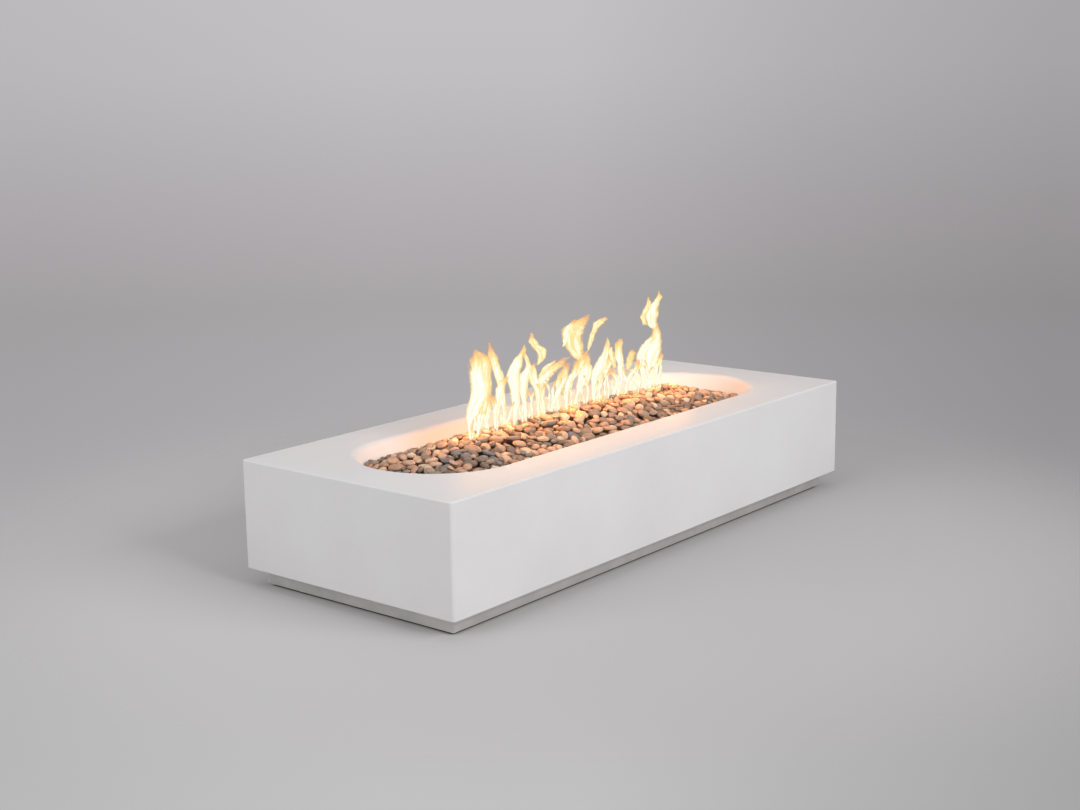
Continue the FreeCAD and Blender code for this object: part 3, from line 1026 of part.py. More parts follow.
def hoses_and_leads():
    """The flexible gas hoses and the two leads, each whole along its route."""
    places = {
        "inlet": (INLET_X, INLET_TAIL, INLET_Z),
        "supply_port": (f"{KNOB_X} - {PORT_REACH}", VALVE_MIDDLE, PORT_Z),
        "burner_port": (f"{KNOB_X} + {PORT_REACH}", VALVE_MIDDLE, PORT_Z),
        "halfway": (f"{KNOB_X} / 2", VALVE_MIDDLE, ELBOW_AXIS),
        "under_burner": ("0", VALVE_MIDDLE, ELBOW_AXIS),
        "orifice": ("0", ORIFICE_END, ELBOW_AXIS),
        "igniter": (IGNITER_X, IGNITER_REAR, "Sizes.control_height"),
        "below_igniter": (IGNITER_X, IGNITER_REAR, ELBOW_AXIS),
        "electrode": ("Sizes.sensor_x", "Sizes.sensor_y",
                      f"{PAN_UNDER} - Sizes.insulator_drop"),
        "below_electrode": ("Sizes.sensor_x", "Sizes.sensor_y", ELBOW_AXIS),
        "sensor_port": (KNOB_X, VALVE_MIDDLE, VALVE_UNDER),
        "below_valve": (KNOB_X, VALVE_MIDDLE, ELBOW_AXIS),
        "thermocouple": (THERMO_X, "Sizes.sensor_y", f"{PAN_UNDER} - Sizes.thermo_drop"),
        "below_thermocouple": (THERMO_X, "Sizes.sensor_y", ELBOW_AXIS),
    }
    flexible("supply_hose", "Sizes.hose_radius", "Sizes.hose_bore", places)
    flexible("burner_hose", "Sizes.hose_radius", "Sizes.hose_bore", places)
    flexible("spark_cable", "Sizes.cable_radius", None, places)
    flexible("thermocouple_lead", "Sizes.lead_radius", None, places)


def lava_bed():
    """The loose fill: level in the pan round the burner, heaped like a hipped roof above."""
    mound = doc.addObject("PartDesign::Body", "fill_in_bowl")
    above = f"({FILL_CREST} + Sizes.pebble_depth)"
    for name, level in (("fill_foot", FILL_BASE), ("fill_top", above)):
        outline = sketch_on(mound, name, "XY_Plane", level)
        add_slot(outline, BOWL_STRAIGHT, f"{bowl_radius(level)} - 2 * Sizes.loose_gap")
    loft(mound, "Additive", "fill_frustum", doc.getObject("fill_foot"), doc.getObject("fill_top"))
    rise = f"({FILL_CREST} - {FILL_BASE})"
    roof = doc.addObject("Part::Wedge", "fill_roof")
    side = f"Sizes.crest_width / 2 + {rise} / tan(Sizes.side_slope)"
    bind(roof, Ymin="0", Ymax=rise,
         Xmin=f"-Sizes.crest_left - {rise} / tan(Sizes.left_slope)",
         Xmax=f"Sizes.crest_right + {rise} / tan(Sizes.right_slope)",
         X2min="-Sizes.crest_left", X2max="Sizes.crest_right",
         Zmin=f"-({side})", Zmax=side,
         Z2min="-Sizes.crest_width / 2", Z2max="Sizes.crest_width / 2")
    place(roof, "0", "0", FILL_BASE, Rotation(Vector(1, 0, 0), 90))
    heap = doc.addObject("Part::MultiCommon", "fill_heap")
    heap.Shapes = [mound, roof]
    gap = "2 * (Sizes.pan_sheet + Sizes.loose_gap)"
    bottom = f"({PAN_FLOOR} + Sizes.loose_gap)"
    trough = block("fill_in_pan", f"{PAN_LENGTH} - {gap}", f"Sizes.pan_width - {gap}",
                   f"{FILL_BASE} - {bottom} + Sizes.pan_sheet", z=bottom)
    tunnel = block("burner_room", "Sizes.burner_length + 2 * Sizes.fill_end_gap",
                   "2 * (Sizes.burner_radius + Sizes.fill_side_gap)",
                   "Sizes.burner_lift + Sizes.burner_radius + Sizes.fill_top_gap", z=PAN_FLOOR)
    depth = "(Sizes.sensor_y + Sizes.sensor_back_gap)"
    pocket = block("sensor_room", "Sizes.sensor_spacing + 2 * Sizes.sensor_end_gap", depth,
                   "Sizes.thermo_height + Sizes.sensor_top_gap",
                   "Sizes.sensor_x + Sizes.sensor_spacing / 2", f"{depth} / 2", PAN_FLOOR)
    heads = [rod(f"head_room_{i}", "Sizes.screw_head_radius + Sizes.screw_gap",
                 "Sizes.screw_head_height + Sizes.screw_gap", x, y, FLANGE_TOP)
             for i, (x, y) in enumerate(PAN_SCREWS, start=1)]
    keep(cut("lava_bed", fuse("fill_body", heap, trough),
             fuse("fill_rooms", tunnel, pocket, *heads)))


def pebbles():
    """One layer of smooth stones over the fill, in three stone colours."""
    pitch, reach = value("Sizes.pebble_pitch"), value("Sizes.pebble_reach")
    depth, gap = value("Sizes.pebble_depth"), value("Sizes.loose_gap")
    crest, flat = value(FILL_CREST), value("Sizes.crest_width") / 2
    left, right = value("Sizes.crest_left"), value("Sizes.crest_right")
    straight, top = value(BOWL_STRAIGHT), value(BODY_TOP)
    mouth, lean = value(MOUTH_RADIUS), math.tan(math.radians(value("Sizes.wall_slope")))
    falls = {name: math.radians(value(f"Sizes.{name}_slope"))
             for name in ("side", "left", "right")}
    draw = random.Random(PEBBLE_SEED)

    def ground(x, y):
        """Height of the fill at a place, and the way its surface faces there."""
        sides = [(crest - (abs(y) - flat) * math.tan(falls["side"]), falls["side"],
                  Vector(0, math.copysign(1, y), 0)),
                 (crest - (-x - left) * math.tan(falls["left"]), falls["left"], Vector(-1, 0, 0)),
                 (crest - (x - right) * math.tan(falls["right"]), falls["right"], Vector(1, 0, 0)),
                 (crest, 0.0, Vector(1, 0, 0))]
        height, fall, outward = min(sides, key=lambda side: side[0])
        return height, Vector(0, 0, 1) * math.cos(fall) + outward * math.sin(fall)

    def room(x, y, height):
        """Distance from a place to the bowl's wall at a height."""
        radius = mouth - (top - height) * lean
        return radius - math.hypot(max(abs(x) - straight, 0), y)

    stones = {name: [] for name in PEBBLE_COLOURS}
    row_reach = value(f"{MOUTH_RADIUS} - Sizes.pebble_edge")
    rows = int(row_reach / (pitch * math.sin(math.pi / 3)))
    spacing = row_reach / rows
    columns = int((straight + mouth) / pitch) + 1
    for row in range(-rows, rows + 1):
        for column in range(-columns, columns + 1):
            x = pitch * (column + (row % 2) / 2)
            y = spacing * row
            half_length = reach * draw.uniform(*PEBBLE_LENGTHS)
            half_width = half_length * draw.uniform(*PEBBLE_WIDTHS)
            half_depth = depth * draw.uniform(*PEBBLE_DEPTHS)
            spin = draw.uniform(0, 180)
            name = draw.choices(list(PEBBLE_COLOURS), PEBBLE_COLOURS.values())[0]
            height, facing = ground(x, y)
            centre = Vector(x, y, height) + facing * (half_depth + gap)
            if room(centre.x, centre.y, height) < half_length + gap:
                continue
            stone = doc.addObject("Part::Ellipsoid", "pebble")
            stone.Radius1, stone.Radius2, stone.Radius3 = half_depth, half_length, half_width
            stone.Angle1, stone.Angle2, stone.Angle3 = -90, 90, 360
            stone.Placement = Placement(
                centre, Rotation(Vector(0, 0, 1), facing) * Rotation(Vector(0, 0, 1), spin))
            stones[name].append(stone)
    for name, pile in stones.items():
        print(f"{name}: {len(pile)} stones")
        keep(group(name, pile))


def channel(name, role, along, outward, holes=()):
    """One side of the plinth: a channel facing inwards with mitred ends."""
    side = keep(doc.addObject("PartDesign::Body", name))
    depth = PLINTH_X if role == "XZ_Plane" else PLINTH_Y
    face = f"{outward}{depth}"
    sign = "-" if outward == "" else "+"

    def inward(distance):
        return f"{face} {sign} {distance}"

    low, high = "Sizes.foot_gap", PLINTH_TOP
    section = sketch_on(side, f"{name}_section", role)
    add_polygon(section, [
        (face, low), (face, high), (inward("Sizes.plinth_flange"), high),
        (inward("Sizes.plinth_flange"), f"{high} - Sizes.plinth_sheet"),
        (inward("Sizes.plinth_sheet"), f"{high} - Sizes.plinth_sheet"),
        (inward("Sizes.plinth_sheet"), f"{low} + Sizes.plinth_sheet"),
        (inward("Sizes.plinth_flange"), f"{low} + Sizes.plinth_sheet"),
        (inward("Sizes.plinth_flange"), low)])
    extrude(side, "Pad", f"{name}_bar", section, f"2 * {along}", middle=True)
    mitres = sketch_on(side, f"{name}_mitres", "XY_Plane", high)
    deep = "(2 * Sizes.plinth_flange)"
    for end in ("", "-"):
        back = "-" if end == "" else "+"
        tip = f"{end}({along} - Sizes.mitre_gap / 2)"
        edge = f"{end}({along} + Sizes.plinth_sheet)"
        outer = [(tip, face), (edge, face), (edge, inward(deep)),
                 (f"{tip} {back} {deep}", inward(deep))]
        add_polygon(mitres, outer if role == "YZ_Plane" else [(b, a) for a, b in outer])
    extrude(side, "Pocket", f"{name}_mitre_cuts", mitres, "Sizes.plinth_height")
    bolts = sketch_on(side, f"{name}_bolt_circles", "XY_Plane", high)
    for x, y in holes:
        add_circle(bolts, "Sizes.bolt_radius + Sizes.bolt_play", x, y)
    extrude(side, "Pocket", f"{name}_bolt_holes", bolts, "Sizes.plinth_sheet")
    return side


def base_frame():
    """Plinth skirt, cross members, gussets, rubber strips and the bolts into the casting."""
    rear = channel("plinth_rear", "YZ_Plane", PLINTH_X, "", LONG_BOLTS)
    way = sketch_on(rear, "inlet_hole", "XZ_Plane", f"-{PLINTH_Y}")
    add_circle(way, "Sizes.inlet_body_radius + Sizes.fit_gap", INLET_X, INLET_Z)
    extrude(rear, "Pocket", "inlet_hole_cut", way, "Sizes.plinth_sheet", reverse=True)
    channel("plinth_front", "YZ_Plane", PLINTH_X, "-", [(x, f"-{y}") for x, y in LONG_BOLTS])
    channel("plinth_right", "XZ_Plane", PLINTH_Y, "", END_BOLTS[:1])
    channel("plinth_left", "XZ_Plane", PLINTH_Y, "-", END_BOLTS[1:])

    base = f"({GUSSET_BASE} + Sizes.fit_gap)"
    height = "(Sizes.plinth_height - 2 * Sizes.plinth_sheet - 2 * Sizes.fit_gap)"
    length = f"2 * ({FRAME_Y} - Sizes.fit_gap)"
    members = []
    for i in (-1, 0, 1):
        spot = f"{i} * Sizes.member_spacing"
        wall = block(f"member_wall_{i + 2}", "Sizes.member_width", length, height, spot, "0", base)
        way = block(f"member_way_{i + 2}", "Sizes.member_width - 2 * Sizes.member_wall", length,
                    f"{height} - 2 * Sizes.member_wall", spot, "0", f"{base} + Sizes.member_wall")
        members.append(cut(f"member_{i + 2}", wall, way))
    keep(group("cross_members", members))

    plates, nuts = [], []
    for i, (x, y) in enumerate(FEET, start=1):
        half = "Sizes.gusset_size / 2"
        middle_x = opposed(x, f"({half} - ({FRAME_X} - {FOOT_X}) + Sizes.fit_gap)")
        middle_y = opposed(y, f"({half} - ({FRAME_Y} - {FOOT_Y}) + Sizes.fit_gap)")
        plate = block(f"gusset_plate_{i}", "Sizes.gusset_size", "Sizes.gusset_size",
                      "Sizes.gusset_thickness", middle_x, middle_y, GUSSET_BASE)
        hole = rod(f"gusset_hole_{i}", "Sizes.foot_stud_radius + Sizes.bolt_play",
                   "Sizes.gusset_thickness", x, y, GUSSET_BASE)
        plates.append(cut(f"gusset_{i}", plate, hole))
        bar = hexagon(f"foot_nut_bar_{i}", "Sizes.foot_nut_flats", "Sizes.foot_nut_height",
                      x, y, GUSSET_TOP)
        bore = rod(f"foot_nut_bore_{i}", "Sizes.foot_stud_radius + Sizes.running_gap",
                   "Sizes.foot_nut_height", x, y, GUSSET_TOP)
        nuts.append(cut(f"foot_nut_{i}", bar, bore))
    keep(group("foot_gussets", plates))
    keep(group("foot_nuts", nuts))

    lie_y = f"({PLINTH_Y} - Sizes.plinth_flange / 2)"
    lie_x = f"({PLINTH_X} - Sizes.plinth_flange / 2)"
    long_run = f"2 * {lie_x} + Sizes.strip_width"
    short_run = f"2 * {lie_y} - Sizes.strip_width - 2 * Sizes.strip_gap"
    strips = []
    for side in ("", "-"):
        strips.append(block(f"long_strip{side}", long_run, "Sizes.strip_width",
                            "Sizes.strip_thickness", "0", f"{side}{lie_y}", PLINTH_TOP))
        strips.append(block(f"short_strip{side}", "Sizes.strip_width", short_run,
                            "Sizes.strip_thickness", f"{side}{lie_x}", "0", PLINTH_TOP))
    holes = [rod(f"strip_hole_{i}", "Sizes.bolt_radius + Sizes.bolt_play", "Sizes.strip_thickness",
                 x, y, PLINTH_TOP) for i, (x, y) in enumerate(BOLTS, start=1)]
    keep(cut("isolation_strips", group("strip_set", strips), group("strip_holes", holes)))

    seat = f"({PLINTH_TOP} - Sizes.plinth_sheet)"
    washer = f"({seat} - Sizes.washer_thickness)"
    bolts, washers, inserts = [], [], []
    for i, (x, y) in enumerate(BOLTS, start=1):
        bolts.append(fuse(
            f"bolt_{i}",
            hexagon(f"bolt_head_{i}", "Sizes.bolt_head_flats", "Sizes.bolt_head_height", x, y,
                    f"{washer} - Sizes.bolt_head_height"),
            rod(f"bolt_shank_{i}", "Sizes.bolt_radius", "Sizes.bolt_length", x, y, washer)))
        washers.append(pipe(f"washer_{i}", "Sizes.washer_radius",
                            "Sizes.bolt_radius + Sizes.fit_gap", "Sizes.washer_thickness",
                            x, y, washer))
        inserts.append(pipe(f"insert_{i}", "Sizes.insert_radius",
                            "Sizes.bolt_radius + Sizes.fit_gap", "Sizes.insert_length",
                            x, y, BODY_BASE))
    keep(group("body_bolts", bolts))
    keep(group("bolt_washers", washers))
    keep(group("body_inserts", inserts))


def levelling_feet():
    """Four feet, wound in, each a pad that doesn't turn and a stud that does."""
    bore = "(Sizes.foot_stud_radius + Sizes.loose_gap)"
    seat = "(Sizes.foot_pad_height - Sizes.foot_socket)"
    for i, (x, y) in enumerate(FEET, start=1):
        pad = keep(doc.addObject("PartDesign::Body", f"foot_pad_{i}"))
        half = sketch_on(pad, f"foot_profile_{i}", "XZ_Plane")
        add_polygon(half, [
            ("0", "0"), ("Sizes.foot_pad_radius", "0"),
            ("Sizes.foot_pad_radius", "Sizes.foot_rim"),
            (f"{bore} + Sizes.foot_wall", "Sizes.foot_pad_height"),
            (bore, "Sizes.foot_pad_height"), (bore, seat), ("0", seat)])
        revolve(pad, f"foot_turning_{i}", half)
        place(pad, x, y, "0")
        top = f"({GUSSET_TOP} + Sizes.foot_nut_height + Sizes.foot_travel + Sizes.stud_spare)"
        foot = f"({seat} + Sizes.loose_gap)"
        shank = rod(f"stud_shank_{i}", "Sizes.foot_stud_radius", f"{top} - {foot}", x, y, foot)
        drive = hexagon(f"stud_drive_{i}", "Sizes.drive_flats", "2 * Sizes.drive_depth",
                        x, y, f"{top} - Sizes.drive_depth")
        keep(cut(f"foot_stud_{i}", shank, drive))


def check_and_write():
    """Stops if any object failed, then writes one file for each sub-part."""
    doc.recompute()
    for item in doc.Objects:
        faults = [state for state in item.State if state in ("Invalid", "Error")]
        if faults:
            raise ValueError(f"{item.Name} is {faults}")
    os.makedirs("parts", exist_ok=True)
    for feature in nodes:
        shape = feature.Shape
        if shape.isNull() or not shape.isValid() or not shape.Solids:
            raise ValueError(f"{feature.Label} has no valid solid")
        shape.exportStep(os.path.join("parts", f"{feature.Label}.step"))
        size = shape.BoundBox
        print(f"{feature.Label}: {len(shape.Solids)} solids, {shape.Volume / 1000:.1f} cm3,"
              f" z {size.ZMin:.1f} to {size.ZMax:.1f}")


concrete_body()
burner_pan()
burner()
gas_feed()
gas_valve()
control_panel()
igniter()
ignition()
gas_inlet()
hoses_and_leads()
lava_bed()
pebbles()
base_frame()
levelling_feet()
check_and_write()
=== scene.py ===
"""Looks of a long low fire pit table: pale smooth concrete, river pebbles, a brushed plinth and flames.

Every length is in metres. X runs along the table, Y across it and Z up from the floor, and the long side
with the gas controls faces +Y.
"""

import json
import logging
import math
from dataclasses import dataclass, field
from enum import Enum
from typing import Any, Iterable, Sequence

import bpy
import numpy as np
from mathutils import Matrix, Vector
from mathutils.bvhtree import BVHTree


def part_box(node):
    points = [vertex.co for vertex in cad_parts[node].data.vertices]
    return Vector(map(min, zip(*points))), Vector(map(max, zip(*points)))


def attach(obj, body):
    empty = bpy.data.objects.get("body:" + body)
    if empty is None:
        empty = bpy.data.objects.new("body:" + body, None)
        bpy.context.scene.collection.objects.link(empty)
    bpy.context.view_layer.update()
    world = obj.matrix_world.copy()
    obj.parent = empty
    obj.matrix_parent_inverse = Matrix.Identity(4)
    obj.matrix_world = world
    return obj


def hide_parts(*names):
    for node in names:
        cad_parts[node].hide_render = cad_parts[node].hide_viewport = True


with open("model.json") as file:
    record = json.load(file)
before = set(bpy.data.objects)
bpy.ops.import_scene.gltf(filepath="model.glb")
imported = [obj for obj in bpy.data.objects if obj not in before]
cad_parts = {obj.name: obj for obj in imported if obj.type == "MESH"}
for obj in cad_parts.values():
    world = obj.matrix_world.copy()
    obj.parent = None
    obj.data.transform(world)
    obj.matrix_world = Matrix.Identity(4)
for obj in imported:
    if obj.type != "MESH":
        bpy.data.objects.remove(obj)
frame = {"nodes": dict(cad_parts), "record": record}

LOG = logging.getLogger("fire_pit_table")
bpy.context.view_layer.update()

Point = tuple[float, float, float]
Colour = tuple[float, float, float]
Socket = bpy.types.NodeSocket
NOISE_BAND = (0.3, 0.7)
WHITE = (1.0, 1.0, 1.0, 1.0)
SLOT_OF: dict[str, str] = {part["node"]: part["material_slot"] for part in frame["record"]["subparts"]}


def shade(red: float, green: float, blue: float) -> tuple[float, float, float, float]:
    """Turns a colour as a screen shows it into the linear colour that a shader takes.

    Args:
        red: Red from 0 to 255.
        green: Green from 0 to 255.
        blue: Blue from 0 to 255.

    Returns:
        The linear colour with full opacity.
    """
    def channel(level: float) -> float:
        """Returns one channel made linear."""
        part = level / 255
        return part / 12.92 if part <= 0.04045 else ((part + 0.055) / 1.055) ** 2.4

    return channel(red), channel(green), channel(blue), 1.0


# Shaders


class NodeSheet:
    """A node tree that is written from its patterns towards its output."""

    tree: bpy.types.NodeTree

    def add(self, kind: str, inputs: dict[Any, Any] | None = None, **settings: Any) -> bpy.types.Node:
        """Adds a node.

        Args:
            kind: The node's type name.
            inputs: Sockets by name, identifier or index, each with a value or the socket that feeds it.
            settings: Properties of the node.

        Returns:
            The new node.
        """
        node = self.tree.nodes.new(kind)
        for name, setting in settings.items():
            setattr(node, name, setting)
        for key, content in (inputs or {}).items():
            socket = node.inputs[key] if isinstance(key, int) else next(
                s for s in node.inputs if key in (s.identifier, s.name))
            if isinstance(content, Socket):
                self.tree.links.new(content, socket)
            else:
                socket.default_value = content
        return node

    def sum(self, kind: str, first: Any, second: Any = 0.0) -> Socket:
        """Returns the result of a calculation on one or two values.

        Args:
            kind: The calculation, such as ADD or ABSOLUTE.
            first: A socket or a number.
            second: A socket or a number.
        """
        return self.add("ShaderNodeMath", {0: first, 1: second}, operation=kind).outputs[0]


class ShaderGraph(NodeSheet):
    """One material's nodes."""

    def __init__(self, name: str) -> None:
        """Starts an empty material of that name.

        Args:
            name: The material's name.
        """
        self.material = bpy.data.materials.new(name)
        self.material.use_nodes = True
        self.tree = self.material.node_tree
        self.tree.nodes.clear()

    def place(self, scale: Point = (1, 1, 1), turn: Point = (0, 0, 0)) -> Socket:
        """Returns the object's own coordinates, scaled and turned for a pattern.

        Args:
            scale: Factor on each axis.
            turn: Rotation about each axis, in radians.
        """
        own = self.add("ShaderNodeTexCoord").outputs["Object"]
        return self.add("ShaderNodeMapping", {"Vector": own, "Scale": scale, "Rotation": turn}).outputs[0]

    def stored(self, name: str, output: str = "Fac") -> Socket:
        """Returns an attribute that the mesh carries.

        Args:
            name: The attribute's name.
            output: Which output of the node to use.
        """
        return self.add("ShaderNodeAttribute", attribute_name=name).outputs[output]

    def noise(self, place: Socket, scale: float, detail: float, roughness: float) -> Socket:
        """Returns a soft random pattern from 0 to 1.

        Args:
            place: The coordinates that it follows.
            scale: Patches per metre.
            detail: Number of finer octaves.
            roughness: Strength of the finer octaves.
        """
        node = self.add("ShaderNodeTexNoise", {"Vector": place, "Scale": scale, "Detail": detail,
                                               "Roughness": roughness})
        return node.outputs["Fac"]

    def cells(self, place: Socket, scale: float) -> Socket:
        """Returns the distance from the middle of the nearest of many cells.

        Args:
            place: The coordinates that it follows.
            scale: Cells per metre.
        """
        return self.add("ShaderNodeTexVoronoi", {"Vector": place, "Scale": scale}).outputs["Distance"]

    def span(self, source: Socket, low: float, high: float, to_low: float = 0.0,
             to_high: float = 1.0) -> Socket:
        """Returns a value moved from one range to another and held inside it.

        Args:
            source: The value.
            low: Where its range starts.
            high: Where its range ends.
            to_low: Where the new range starts.
            to_high: Where the new range ends.
        """
        return self.add("ShaderNodeMapRange", {"Value": source, "From Min": low, "From Max": high,
                                               "To Min": to_low, "To Max": to_high}).outputs["Result"]

    def over(self, share: Any, under: bpy.types.Node, upper: bpy.types.Node) -> Socket:
        """Returns one shader laid over another.

        Args:
            share: How far the upper one covers, a socket or a number.
            under: The lower shader.
            upper: The upper shader.
        """
        shaders = {0: share, 1: under.outputs[0], 2: upper.outputs[0]}
        return self.add("ShaderNodeMixShader", shaders).outputs[0]

    def mix(self, factor: Any, first: Any, second: Any, blend: str = "MIX") -> Socket:
        """Returns a mix of two colours.

        Args:
            factor: Share of the second colour.
            first: A socket or a colour.
            second: A socket or a colour.
            blend: How the second colour lies on the first.
        """
        node = self.add("ShaderNodeMix", {"Factor_Float": factor, "A_Color": first, "B_Color": second},
                        data_type="RGBA", blend_type=blend)
        return next(s for s in node.outputs if s.identifier == "Result_Color")

    def ramp(self, factor: Socket, stops: Sequence[tuple[float, Sequence[float]]]) -> Socket:
        """Returns a colour picked from a row of colours.

        Args:
            factor: Place along the row, from 0 to 1.
            stops: Each place with its linear colour.
        """
        node = self.add("ShaderNodeValToRGB", {"Fac": factor})
        band = node.color_ramp
        while len(band.elements) < len(stops):
            band.elements.new(1.0)
        for element, (place, colour) in zip(band.elements, stops):
            element.position = place
            element.color = colour
        return node.outputs["Color"]

    def bump(self, height: Socket, depth: float, strength: float = 1.0,
             onto: Socket | None = None) -> Socket:
        """Returns the surface's normal with a relief on it.

        Args:
            height: The relief from 0 to 1.
            depth: What a height of 1 stands for, in metres.
            strength: Share of the relief that shows.
            onto: A normal that the relief is laid on.
        """
        inputs = {"Height": height, "Distance": depth, "Strength": strength}
        if onto is not None:
            inputs["Normal"] = onto
        return self.add("ShaderNodeBump", inputs).outputs["Normal"]

    def close(self, **sockets: Any) -> bpy.types.Material:
        """Ends the material in a principled surface.

        Args:
            sockets: The surface's sockets, with spaces written as underscores.

        Returns:
            The finished material.
        """
        inputs = {name.replace("_", " "): content for name, content in sockets.items()}
        return self.end(self.add("ShaderNodeBsdfPrincipled", inputs).outputs["BSDF"])

    def end(self, surface: Socket) -> bpy.types.Material:
        """Joins a surface to the output and returns the material.

        Args:
            surface: The shader to show.
        """
        self.add("ShaderNodeOutputMaterial", {"Surface": surface})
        return self.material


class WorldGraph(ShaderGraph):
    """The world's nodes."""

    def __init__(self, name: str) -> None:
        """Starts an empty world of that name and gives it to the scene.

        Args:
            name: The world's name.
        """
        world = bpy.data.worlds.new(name)
        world.use_nodes = True
        bpy.context.scene.world = world
        self.tree = world.node_tree
        self.tree.nodes.clear()

    def close_world(self, surface: Socket) -> None:
        """Joins a surface to the world's output.

        Args:
            surface: The shader to show.
        """
        self.add("ShaderNodeOutputWorld", {"Surface": surface})


# Finishes


@dataclass(frozen=True)
class Finish:
    """A surface that a material slot of the record can take."""

    slot: str

    def material(self) -> bpy.types.Material:
        """Returns the finish's material, made on its first use."""
        name = self.slot + "_finish"
        return bpy.data.materials.get(name) or self.draw(ShaderGraph(name))

    def draw(self, graph: ShaderGraph) -> bpy.types.Material:
        """Draws the surface's nodes.

        Args:
            graph: The empty material.
        """
        raise NotImplementedError


@dataclass(frozen=True)
class Concrete(Finish):
    """Smooth sealed cast concrete with faint clouds, fine grain and a few pinholes, which are darkened with
    painted shade.
    """

    pale: Colour = (227, 226, 227)
    deep: Colour = (220, 218, 219)
    grit: Colour = (180, 178, 174)
    # painted shade: the dark colour laid into the pinholes
    pinhole_painted_shade: Colour = (120, 118, 114)
    clouds_per_metre: float = 2.6
    grains_per_metre: float = 420.0
    grain_depth: float = 0.00006
    pinhole_pitch: float = 0.03
    pinhole_radius: float = 0.0006
    pinhole_depth: float = 0.0004
    roughness: tuple[float, float] = (0.5, 0.6)

    def draw(self, graph: ShaderGraph) -> bpy.types.Material:
        """Draws clouds, grain, and pinholes with painted shade in them.

        Args:
            graph: The empty material.
        """
        place = graph.place()
        clouds = graph.noise(place, self.clouds_per_metre, 5, 0.6)
        grain = graph.noise(place, self.grains_per_metre, 3, 0.6)
        holes = graph.cells(place, 1 / self.pinhole_pitch)
        edge = self.pinhole_radius / self.pinhole_pitch
        pits = graph.span(holes, edge, 2.2 * edge, 1.0, 0.0)
        tone = graph.mix(graph.span(clouds, *NOISE_BAND), shade(*self.deep), shade(*self.pale))
        fine = graph.mix(graph.span(grain, 0.35, 0.75, 0.0, 0.05), tone, shade(*self.grit))
        # painted shade: darkens the pinholes' colour, on top of their bump
        colour = graph.mix(graph.sum("MULTIPLY", pits, 0.28), fine, shade(*self.pinhole_painted_shade))
        skin = graph.bump(grain, self.grain_depth)
        relief = graph.bump(graph.sum("SUBTRACT", 1.0, pits), self.pinhole_depth, 1.0, skin)
        gloss = graph.span(clouds, *NOISE_BAND, *self.roughness)
        return graph.close(Base_Color=colour, Roughness=gloss, Normal=relief)


@dataclass(frozen=True)
class Pebble(Finish):
    """Worn river stone: each stone its own tone, with mineral bands, specks and a dry satin skin."""

    tones: tuple[Colour, ...]
    band: Colour
    shadow: Colour = (120, 112, 106)
    dark_speck: Colour = (84, 74, 68)
    pale_speck: Colour = (205, 200, 192)
    bands_per_stone: float = 1.3
    specks_per_stone: float = 16.0
    speck_depth: float = 0.0004
    roughness: tuple[float, float] = (0.66, 0.86)
    sheen: float = 0.14

    def draw(self, graph: ShaderGraph) -> bpy.types.Material:
        """Draws tone, bands and specks from what each stone carries.

        Args:
            graph: The empty material.
        """
        own = graph.stored("own_place", "Vector")
        cloud = graph.noise(own, self.bands_per_stone, 4, 0.6)
        speck = graph.noise(own, self.specks_per_stone, 3, 0.7)
        last = len(self.tones) - 1
        stops = [(index * (1 / last), shade(*colour)) for index, colour in enumerate(self.tones)]
        colour = graph.ramp(graph.stored("tone"), stops)
        banded = graph.mix(graph.span(cloud, 0.52, 0.72, 0.0, 0.5), colour, shade(*self.band))
        dull = graph.mix(graph.span(cloud, 0.2, 0.48, 0.45, 0.0), banded, shade(*self.shadow), "MULTIPLY")
        specked = graph.mix(graph.span(speck, 0.55, 0.75, 0.0, 0.3), dull, shade(*self.dark_speck))
        pale = graph.mix(graph.span(speck, 0.24, 0.38, 0.3, 0.0), specked, shade(*self.pale_speck))
        return graph.close(Base_Color=pale, Roughness=graph.span(speck, *NOISE_BAND, *self.roughness),
                           Specular_IOR_Level=self.sheen, Normal=graph.bump(speck, self.speck_depth, 0.6))


@dataclass(frozen=True)
class Lava(Finish):
    """Dark porous gravel."""

    pore: Colour = (52, 45, 42)
    rock: Colour = (108, 95, 88)
    lumps_per_metre: float = 62.0
    pores_per_metre: float = 380.0
    lump_depth: float = 0.008
    pore_depth: float = 0.0015
    roughness: float = 0.92

    def draw(self, graph: ShaderGraph) -> bpy.types.Material:
        """Draws lumps and pores.

        Args:
            graph: The empty material.
        """
        place = graph.place()
        lumps = graph.cells(place, self.lumps_per_metre)
        pores = graph.noise(place, self.pores_per_metre, 4, 0.7)
        colour = graph.mix(graph.span(pores, *NOISE_BAND), shade(*self.pore), shade(*self.rock))
        mounds = graph.bump(graph.span(lumps, 0.0, 0.8, 1.0, 0.0), self.lump_depth)
        return graph.close(Base_Color=colour, Roughness=self.roughness,
                           Normal=graph.bump(pores, self.pore_depth, 0.8, mounds))


class Grain(Enum):
    """How a metal's surface was worked."""

    BRUSHED_LEVEL = (5.0, 5.0, 900.0)
    TURNED = (700.0, 700.0, 700.0)
    CAST = (260.0, 260.0, 260.0)
    PLATED = (90.0, 90.0, 90.0)
    DRAWN = (40.0, 900.0, 900.0)


